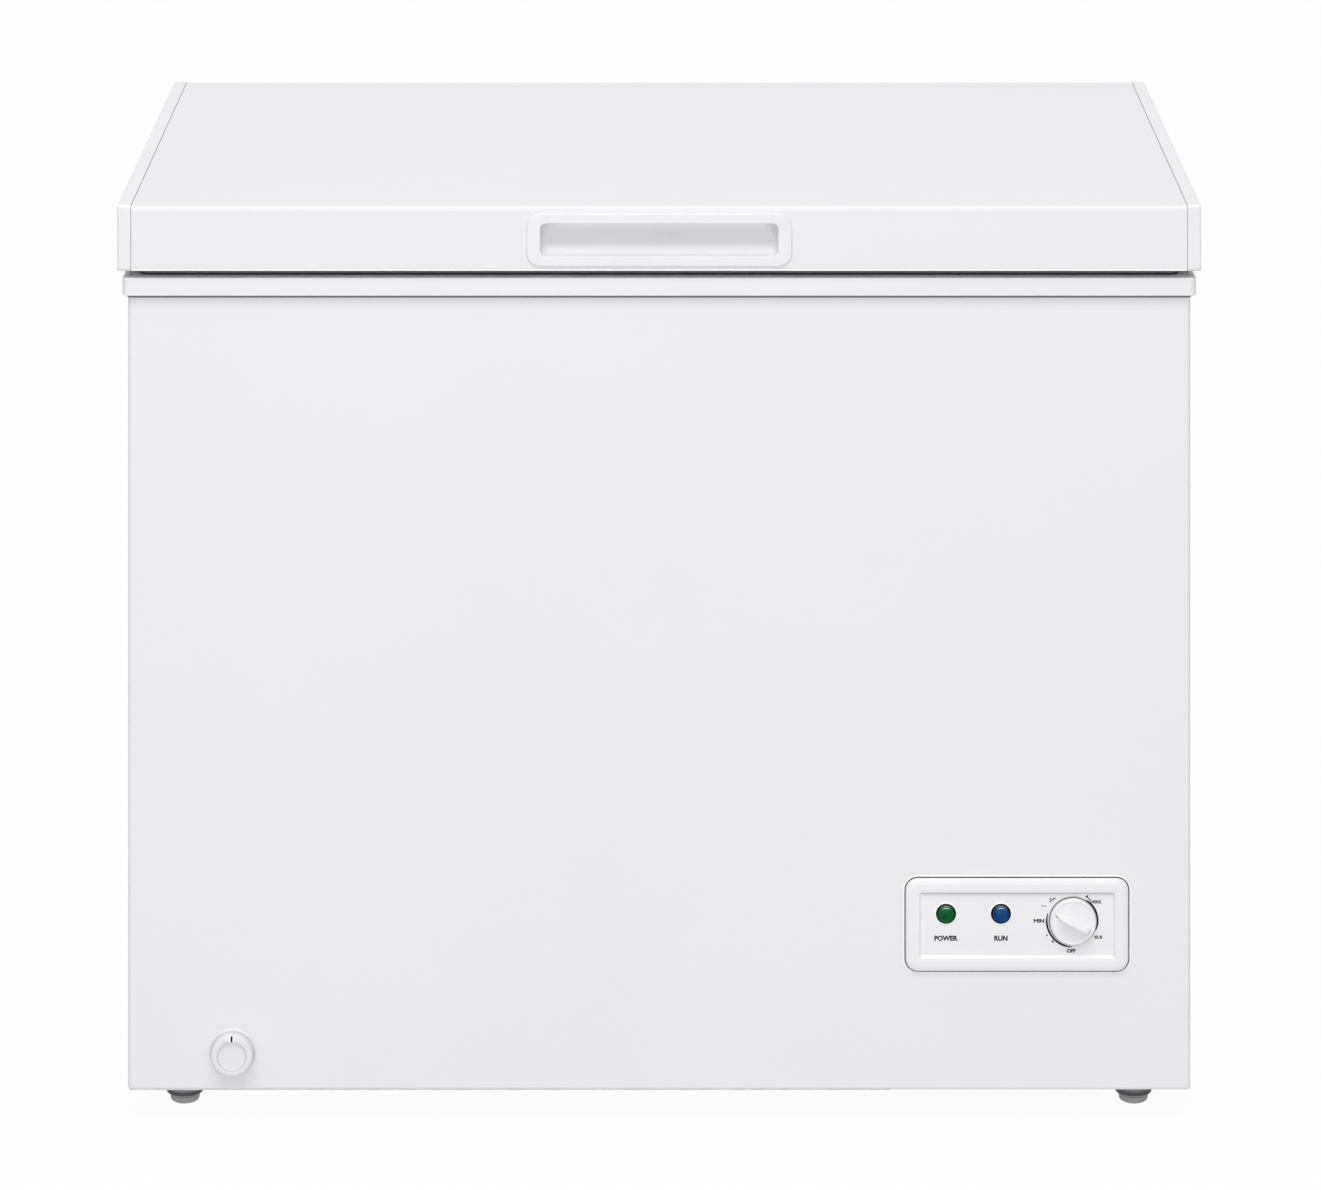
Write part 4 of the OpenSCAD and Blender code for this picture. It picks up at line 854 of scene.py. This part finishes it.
def dial_grip(r, crown, place):
    """The ridge across the knob: narrow at its point, wide and rounded at its tail."""
    turn = math.radians(152)
    ca, sa = math.cos(turn), math.sin(turn)
    rings = []
    steps = 28
    reach = r - 3.0 * MM
    base = DIAL_FACE - 0.5 * MM
    bottom = DIAL_FACE - 1.2 * MM
    for k in range(steps + 1):
        s = k / steps
        along = reach * (1 - 2 * s) + (1.2 * MM if k == steps else 0)
        half = (1.5 + 3.4 * s ** 0.8) * MM
        end = min(1.0, 6 * s + 0.10, math.sqrt(max(0.0, 1 - max(0.0, (s - 0.78) / 0.22) ** 2)) + 0.12)
        swell = 0.55 + 0.45 * math.sin(math.pi * min(1.0, 0.12 + s * 0.86))
        crest = base + (crown - DIAL_FACE + 0.5 * MM) * swell * end
        section = []
        for q in range(13):
            t = -1 + 2 * q / 12
            lean = 0.30 * half * (1 - t * t)
            up = bottom + (crest - bottom) * (1 - abs(t) ** 2.6)
            section.append((t * half * (0.55 + 0.45 * end) + lean, up))
        section += [(half * 0.6, bottom - 0.2 * MM), (-half * 0.6, bottom - 0.2 * MM)]
        rings.append([place(along * ca - v * sa, along * sa + v * ca, up) for v, up in section])
    add_mesh("dial_grip", *loft(rings), M["panel"], "temperature_dial", sharp=55)


SCALE_TICKS = (
    # (right of the knob, above the knob, length, turn in degrees)
    (-28.2, 13.9, 1.5, 8), (-25.6, 13.6, 1.8, -12), (-23.8, -13.3, 2.0, 42), (-18.6, -19.6, 2.6, -35),
    (-18.3, -18.4, 1.6, 60), (-20.2, 18.6, 3.6, 42), (-18.0, 19.9, 2.6, 68), (-16.6, 20.6, 2.0, 10),
    (-20.8, 20.4, 1.8, 60),
)


def panel_print():
    """Words and scale marks on the sunk field."""
    knob = extent("temperature_knob").mid
    x, z = knob.x, knob.z
    print_words("POWER", POWER_X, LABEL_Z, 4.9 * MM, 21.6 * MM)
    print_words("RUN", RUN_X, LABEL_Z, 4.9 * MM, 12.3 * MM)
    middle = PANEL.mid
    print_words("OFF", middle.x + 50 * MM, middle.z - 24 * MM, 3.7 * MM, 8.0 * MM)
    print_words("MIN", middle.x + 20.2 * MM, middle.z + 3.7 * MM, 3.6 * MM, 9.8 * MM)
    print_words("MAX", middle.x + 73.9 * MM, middle.z + 21.3 * MM, 3.4 * MM, 8.0 * MM)
    arc, stop, tick = 1.75 * MM, 0.9 * MM, 0.85 * MM
    print_arc("scale_left", x, z, 24.1 * MM, 163, 269, arc)
    print_arc("scale_right", x, z, 22.9 * MM, -22, 58, arc)
    print_bar("scale_stop", x + 15.2 * MM, z + 19.9 * MM, FIELD_Y, 8.6 * MM, stop, -47)
    print_bar("scale_stop_cap", x + 13.0 * MM, z + 22.6 * MM, FIELD_Y, 3.0 * MM, stop, 40)
    for i, (right, above, length, turn) in enumerate(SCALE_TICKS):
        print_bar(f"scale_tick_{i}", x + right * MM, z + above * MM, FIELD_Y, length * MM, tick, turn)
    print_words("0.5", x + 23.6 * MM, z - 15.0 * MM, 3.0 * MM, 7.4 * MM, "print_half")


# ---- Drain and feet ----


def drain_outlet():
    """Outlet flange on the front, with a notch at each side."""
    lo, _, mid, size = extent("drain_flange")
    r = size.x / 2
    deep = FACE_Y - lo.y
    flange = near(0, 0, (12, -3)) + near(r, 0, (-3, -3), (-3, -0.5), (-0.4, -0.5), (0, 0), (0, 0.3))
    flange += [(r - 0.4 * MM, deep * 0.5), (r - 1.2 * MM, deep * 0.8)]
    flange += near(r, deep, (-2.6, 0), (-6, 0)) + [(11.4 * MM, deep), (11.4 * MM, -3 * MM)]
    piece = spun("drain_flange_ring", flange, on_front(mid.x, FACE_Y, mid.z), 96, M["outlet"], "cabinet",
                 "drain_flange", loop=True)
    half = 0.9 * MM
    for side in (-1, 1):
        notch_x = mid.x + side * (r - half)
        cut(piece, box_part((notch_x - half, lo.y - 0.2 * MM, mid.z - half),
                            (notch_x + half, FACE_Y + 0.4 * MM, mid.z + half)))


def drain_cover():
    """Push-on cover with a bead at its edge, a sunk disc and its index mark; pale grey rings paint the shade
    lines at its edge and round the sunk disc.
    """
    lo, hi, mid, size = extent("drain_cap")
    r = size.x / 2
    top = hi.y - lo.y
    place = on_front(mid.x, hi.y, mid.z)
    inner = r * 13.2 / 19.5
    cap = near(r, 0, (-2, 0), (-0.3, 0), (0, 0.5)) + near(
        r, top, (0, -2.6), (-0.3, -1.5), (-1.0, -0.6), (-2.0, -0.12), (-3.2, 0)) + near(
        inner, top, (0.5, 0), (0.15, -0.2), (0, -0.7), (-0.15, -1.9), (-0.8, -2.0)) + near(
        0, top, (0.05, -1.8))
    spun("drain_cover_disc", cap, place, 96, M["outlet"], "drain_cover", "drain_cap")
    # Pale grey rings at the cover's edge and round its sunk disc paint the shade lines there.
    bead = near(r, 0, (-1, 0.7), (0.45, 0.7), (0.45, 1.5), (-1, 1.5))
    groove = near(inner, top, (-0.05, -0.6), (0.55, -0.3), (0.55, 0.02), (0.2, -0.1))
    for name, ring in (("drain_cover_shade_bead", bead), ("drain_cover_shade_groove", groove)):
        spun(name, ring, place, 96, M["pale_grey_and_shade"], "drain_cover", sharp=40, loop=True)
    at = mid.z + (r - 3.2 * MM)
    for side, name in ((-1, "drain_index_left"), (1, "drain_index_right")):
        near_x, far_x = mid.x + side * 1.0 * MM, mid.x + side * 2.5 * MM
        low, high = at - 3.1 * MM, at + 2.6 * MM
        verts, faces = prism([(near_x, low), (far_x, low), (far_x, high), (near_x, high)],
                             "y", lo.y - 0.55 * MM, lo.y + 1.2 * MM)
        add_mesh(name, verts, faces, M["bright_trim_and_highlight"], "drain_cover", sharp=30, bevel=0.25 * MM)
    print_bar("drain_tick", mid.x, at - 0.2 * MM, lo.y, 5.4 * MM, 1.5 * MM, 90, "drain_cover", 0.2 * MM)


FEET = {"fl": "foot_front_left", "fr": "foot_front_right", "rl": "foot_rear_left", "rr": "foot_rear_right"}
# Dark rings that paint the shade under the cabinet on the foot's flange and under the flange at its neck.
FOOT_SHADE_RINGS = {
    "flange": [(15.4, 8.4), (17.12, 9.1), (17.12, 12.3), (15.4, 13.0)],
    "neck": [(13.0, 6.3), (13.9, 6.5), (14.5, 7.0), (14.9, 7.35), (13.0, 7.6)],
}


def feet():
    """Levelling feet: a disc, a flange and a barrel, and a threaded stem above, with dark rings that paint
    the shade on the flange and at the neck.
    """
    for code, node in FEET.items():
        foot = extent(node)
        place = upright(foot.mid.x, foot.mid.y, 0)
        profile = near(
            0, 0, (0.05, 0.4), (3, 0.02), (9.6, 0.0), (11.7, 0.35), (12.9, 1.2), (13.5, 2.4), (13.7, 4.0),
            (13.7, 6.6), (14.3, 7.0), (15.5, 7.8), (16.8, 8.6), (17.0, 9.2), (17.0, 12.2), (16.4, 12.9),
            (15.2, 13.5), (15.2, 28.4), (14.6, 28.9), (5, 28.9), (4.1, 29.0))
        turn = 29.6
        while turn < foot.hi.z / MM - 0.4:
            profile += near(0, 0, (4.1, turn), (3.55, turn + 0.5))
            turn += 1.0
        profile += near(0, foot.hi.z, (3.4, -0.2), (2.6, -0.02), (0.05, -0.02))
        body = f"foot_{code}"
        spun(f"foot_moulding_{code}", profile, place, 48, M["foot"], body, node, 40)
        for part, ring in FOOT_SHADE_RINGS.items():
            spun(f"foot_{part}_{code}", near(0, 0, *ring), place, 48, M["dark"], body, loop=True)


# ---- Finishes of the CAD nodes ----

FINISHES = {
    "zinc_sheet": ["back_panel", "bottom_pan", "compressor_bulkhead", "base_rail_left", "base_rail_right",
                   "compressor_base_plate"],
    "liner": ["inner_liner"],
    "foam": ["foam_insulation", "lid_foam"],
    "inner": ["lid_inner_panel"],
    "aluminium": ["evaporator_tube"],
    "copper": ["condenser_tube", "filter_drier", "suction_line", "discharge_line", "capillary_tube"],
    "black": ["compressor_lower_shell", "compressor_upper_shell"],
    "rubber": ["compressor_grommets", "cord_gland"],
    "dark": ["terminal_cover", "rear_grille"],
    "grey": ["start_relay", "control_box"],
    "pale_grey_and_shade": ["drain_elbow", "drain_pipe", "tub_drain_plug"],
    "zinc": ["compressor_nuts", "grille_screws", "thermostat_body", "thermostat_shaft", "hinge_pins",
             "hinge_bracket_left", "hinge_bracket_right", "hinge_bracket_screws", "hinge_leaf_left",
             "hinge_leaf_right", "hinge_leaf_screws"],
    "spring": ["hinge_springs"],
    "lamp": ["indicator_lamps"],
    "cable": ["wiring_harness"],
    "wire": ["storage_basket"],
    "grip": ["basket_grips"],
    "green": ["power_lens"],
    "blue": ["run_lens"],
    "cabinet": ["outer_wrap"],
    "lid": ["lid_outer_shell"],
    "panel": ["control_panel", "temperature_knob", "drain_flange", "drain_cap", "lid_handle"],
    "trim": ["top_collar", "lid_end_cap_left", "lid_end_cap_right"],
    "gasket": ["lid_gasket"],
    "foot": list(FEET.values()),
}


EDGE_SOFT, EDGE_SHARE = 0.5 * MM, 0.12


def finish_nodes():
    """Gives every CAD node its material, and soft edges to the ones that are shown."""
    for key, nodes in FINISHES.items():
        for node in nodes:
            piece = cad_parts[node]
            piece.data.materials.clear()
            piece.data.materials.append(M[key])
            if not piece.hide_render:
                width = min(EDGE_SOFT, min(extent(node).size) * EDGE_SHARE)
                soften_edges(piece, width, 45).use_clamp_overlap = True


def flat_faces():
    """Broad faces keep flat shading right up to their rounded edges."""
    for piece in PIECES:
        weigh = piece.modifiers.new("flat_faces", "WEIGHTED_NORMAL")
        weigh.keep_sharp = True
        weigh.weight = 75


# ---- Floor, light and camera ----

FLOOR_EDGE, FLOOR_GLOW = 60.0, 0.951
SKY_COLOUR = (0.978, 0.974, 1.0, 1)
LIGHT_COLOUR = (1.0, 0.99, 0.972)
# From low to high: how strong the surroundings are by height, and how much of that is left at the sides.
SKY_BY_HEIGHT = {"From Min": -0.6, "From Max": 0.9, "To Min": 0.67, "To Max": 0.94}
SKY_BY_SIDE = {"From Min": 0.40, "From Max": 1.0, "To Min": 1.0, "To Max": 0.44}


def floor():
    """Plain pale floor that glows by itself and throws no light on the object."""
    paint = bpy.data.materials.new("studio_floor")
    paint.use_nodes = True
    shader = paint.node_tree.nodes["Principled BSDF"]
    for key, value in (
        ("Base Color", (0.04, 0.04, 0.04, 1)), ("Roughness", 0.9), ("Specular IOR Level", 0.0),
        ("Emission Color", (1, 1, 1, 1)), ("Emission Strength", FLOOR_GLOW),
    ):
        shader.inputs[key].default_value = value
    mesh = bpy.data.meshes.new("floor")
    e = FLOOR_EDGE
    mesh.from_pydata([(-e, -e, 0), (e, -e, 0), (e, e, 0), (-e, e, 0)], [], [(0, 1, 2, 3)])
    mesh.materials.append(paint)
    plane = bpy.data.objects.new("floor", mesh)
    bpy.context.scene.collection.objects.link(plane)
    plane.visible_diffuse = False


def surroundings():
    """Soft light from all round, stronger from above and weaker from the sides."""
    world = bpy.data.worlds.new("studio")
    world.use_nodes = True
    tree = world.node_tree
    link = tree.links.new
    sky = tree.nodes["Background"]
    sky.inputs["Color"].default_value = SKY_COLOUR

    def ramp(source, limits, kind="LINEAR"):
        node = tree.nodes.new("ShaderNodeMapRange")
        node.interpolation_type = kind
        for key, value in limits.items():
            node.inputs[key].default_value = value
        link(source, node.inputs["Value"])
        return node.outputs["Result"]

    def math_node(operation, *sources):
        node = tree.nodes.new("ShaderNodeMath")
        node.operation = operation
        for i, source in enumerate(sources):
            link(source, node.inputs[i])
        return node.outputs["Value"]

    way = tree.nodes.new("ShaderNodeSeparateXYZ")
    link(tree.nodes.new("ShaderNodeTexCoord").outputs["Generated"], way.inputs["Vector"])
    ends = ramp(math_node("ABSOLUTE", way.outputs["X"]), SKY_BY_SIDE, "SMOOTHSTEP")
    height = ramp(way.outputs["Z"], SKY_BY_HEIGHT)
    link(math_node("MULTIPLY", ends, height), sky.inputs["Strength"])
    bpy.context.scene.world = world


def soft_box(name, place, aim, size, power):
    """A rectangular area light."""
    light = bpy.data.lights.new(name, "AREA")
    light.shape = "RECTANGLE"
    light.size, light.size_y = size
    light.energy = power
    light.color = LIGHT_COLOUR
    lamp = bpy.data.objects.new(name, light)
    bpy.context.scene.collection.objects.link(lamp)
    lamp.location = place
    lamp.rotation_mode = "QUATERNION"
    lamp.rotation_quaternion = (Vector(aim) - Vector(place)).to_track_quat("-Z", "Y")


def camera():
    """A view camera: its back stays parallel to the front while it looks down from above."""
    away, eye_z, aim_z = 4.710, 1.927, 0.490
    eye = Vector((0.0012, LID_FACE - away, eye_z))
    aim = Vector((eye.x, LID_FACE, aim_z))
    back = (eye - aim).normalized()
    pixels_per_metre, pixels_wide = 1084.5, 1321.0
    lens = bpy.data.cameras.new("view")
    lens.sensor_width = 36.0
    lens.lens = lens.sensor_width * pixels_per_metre * (eye - aim).length / pixels_wide
    lens.clip_start, lens.clip_end = 0.1, 100.0
    view = bpy.data.objects.new("view", lens)
    stand = bpy.data.objects.new("camera_stand", None)
    for item in (view, stand):
        bpy.context.scene.collection.objects.link(item)
    view.parent = stand
    view.matrix_parent_inverse = Matrix((
        (1, 0, back.x, eye.x), (0, 0, back.y, eye.y), (0, 1, back.z, eye.z), (0, 0, 0, 1)))
    bpy.context.scene.camera = view
    bpy.context.scene.view_settings.view_transform = "Standard"


cabinet_sheet()
side_louvres()
collar()
lid_sheet()
lid_hem_highlight()
lid_edge_strips()
lid_cap(-1, "lid_cap_left", "lid_end_cap_left")
lid_cap(1, "lid_cap_right", "lid_end_cap_right")
handle()
gasket()
back_details()
panel_moulding()
indicator("power", POWER_X, M["green"], "power_lens")
indicator("run", RUN_X, M["blue"], "run_lens")
dial()
panel_print()
drain_outlet()
drain_cover()
feet()
finish_nodes()
flat_faces()
floor()
surroundings()
soft_box("key", (-0.5, -3.9, 7.6), (0, 0, 0.6), (5.0, 2.4), 225)
soft_box("fill", (-0.2, -5.2, 0.6), (0, 0, 0.3), (2.4, 0.8), 46)
camera()
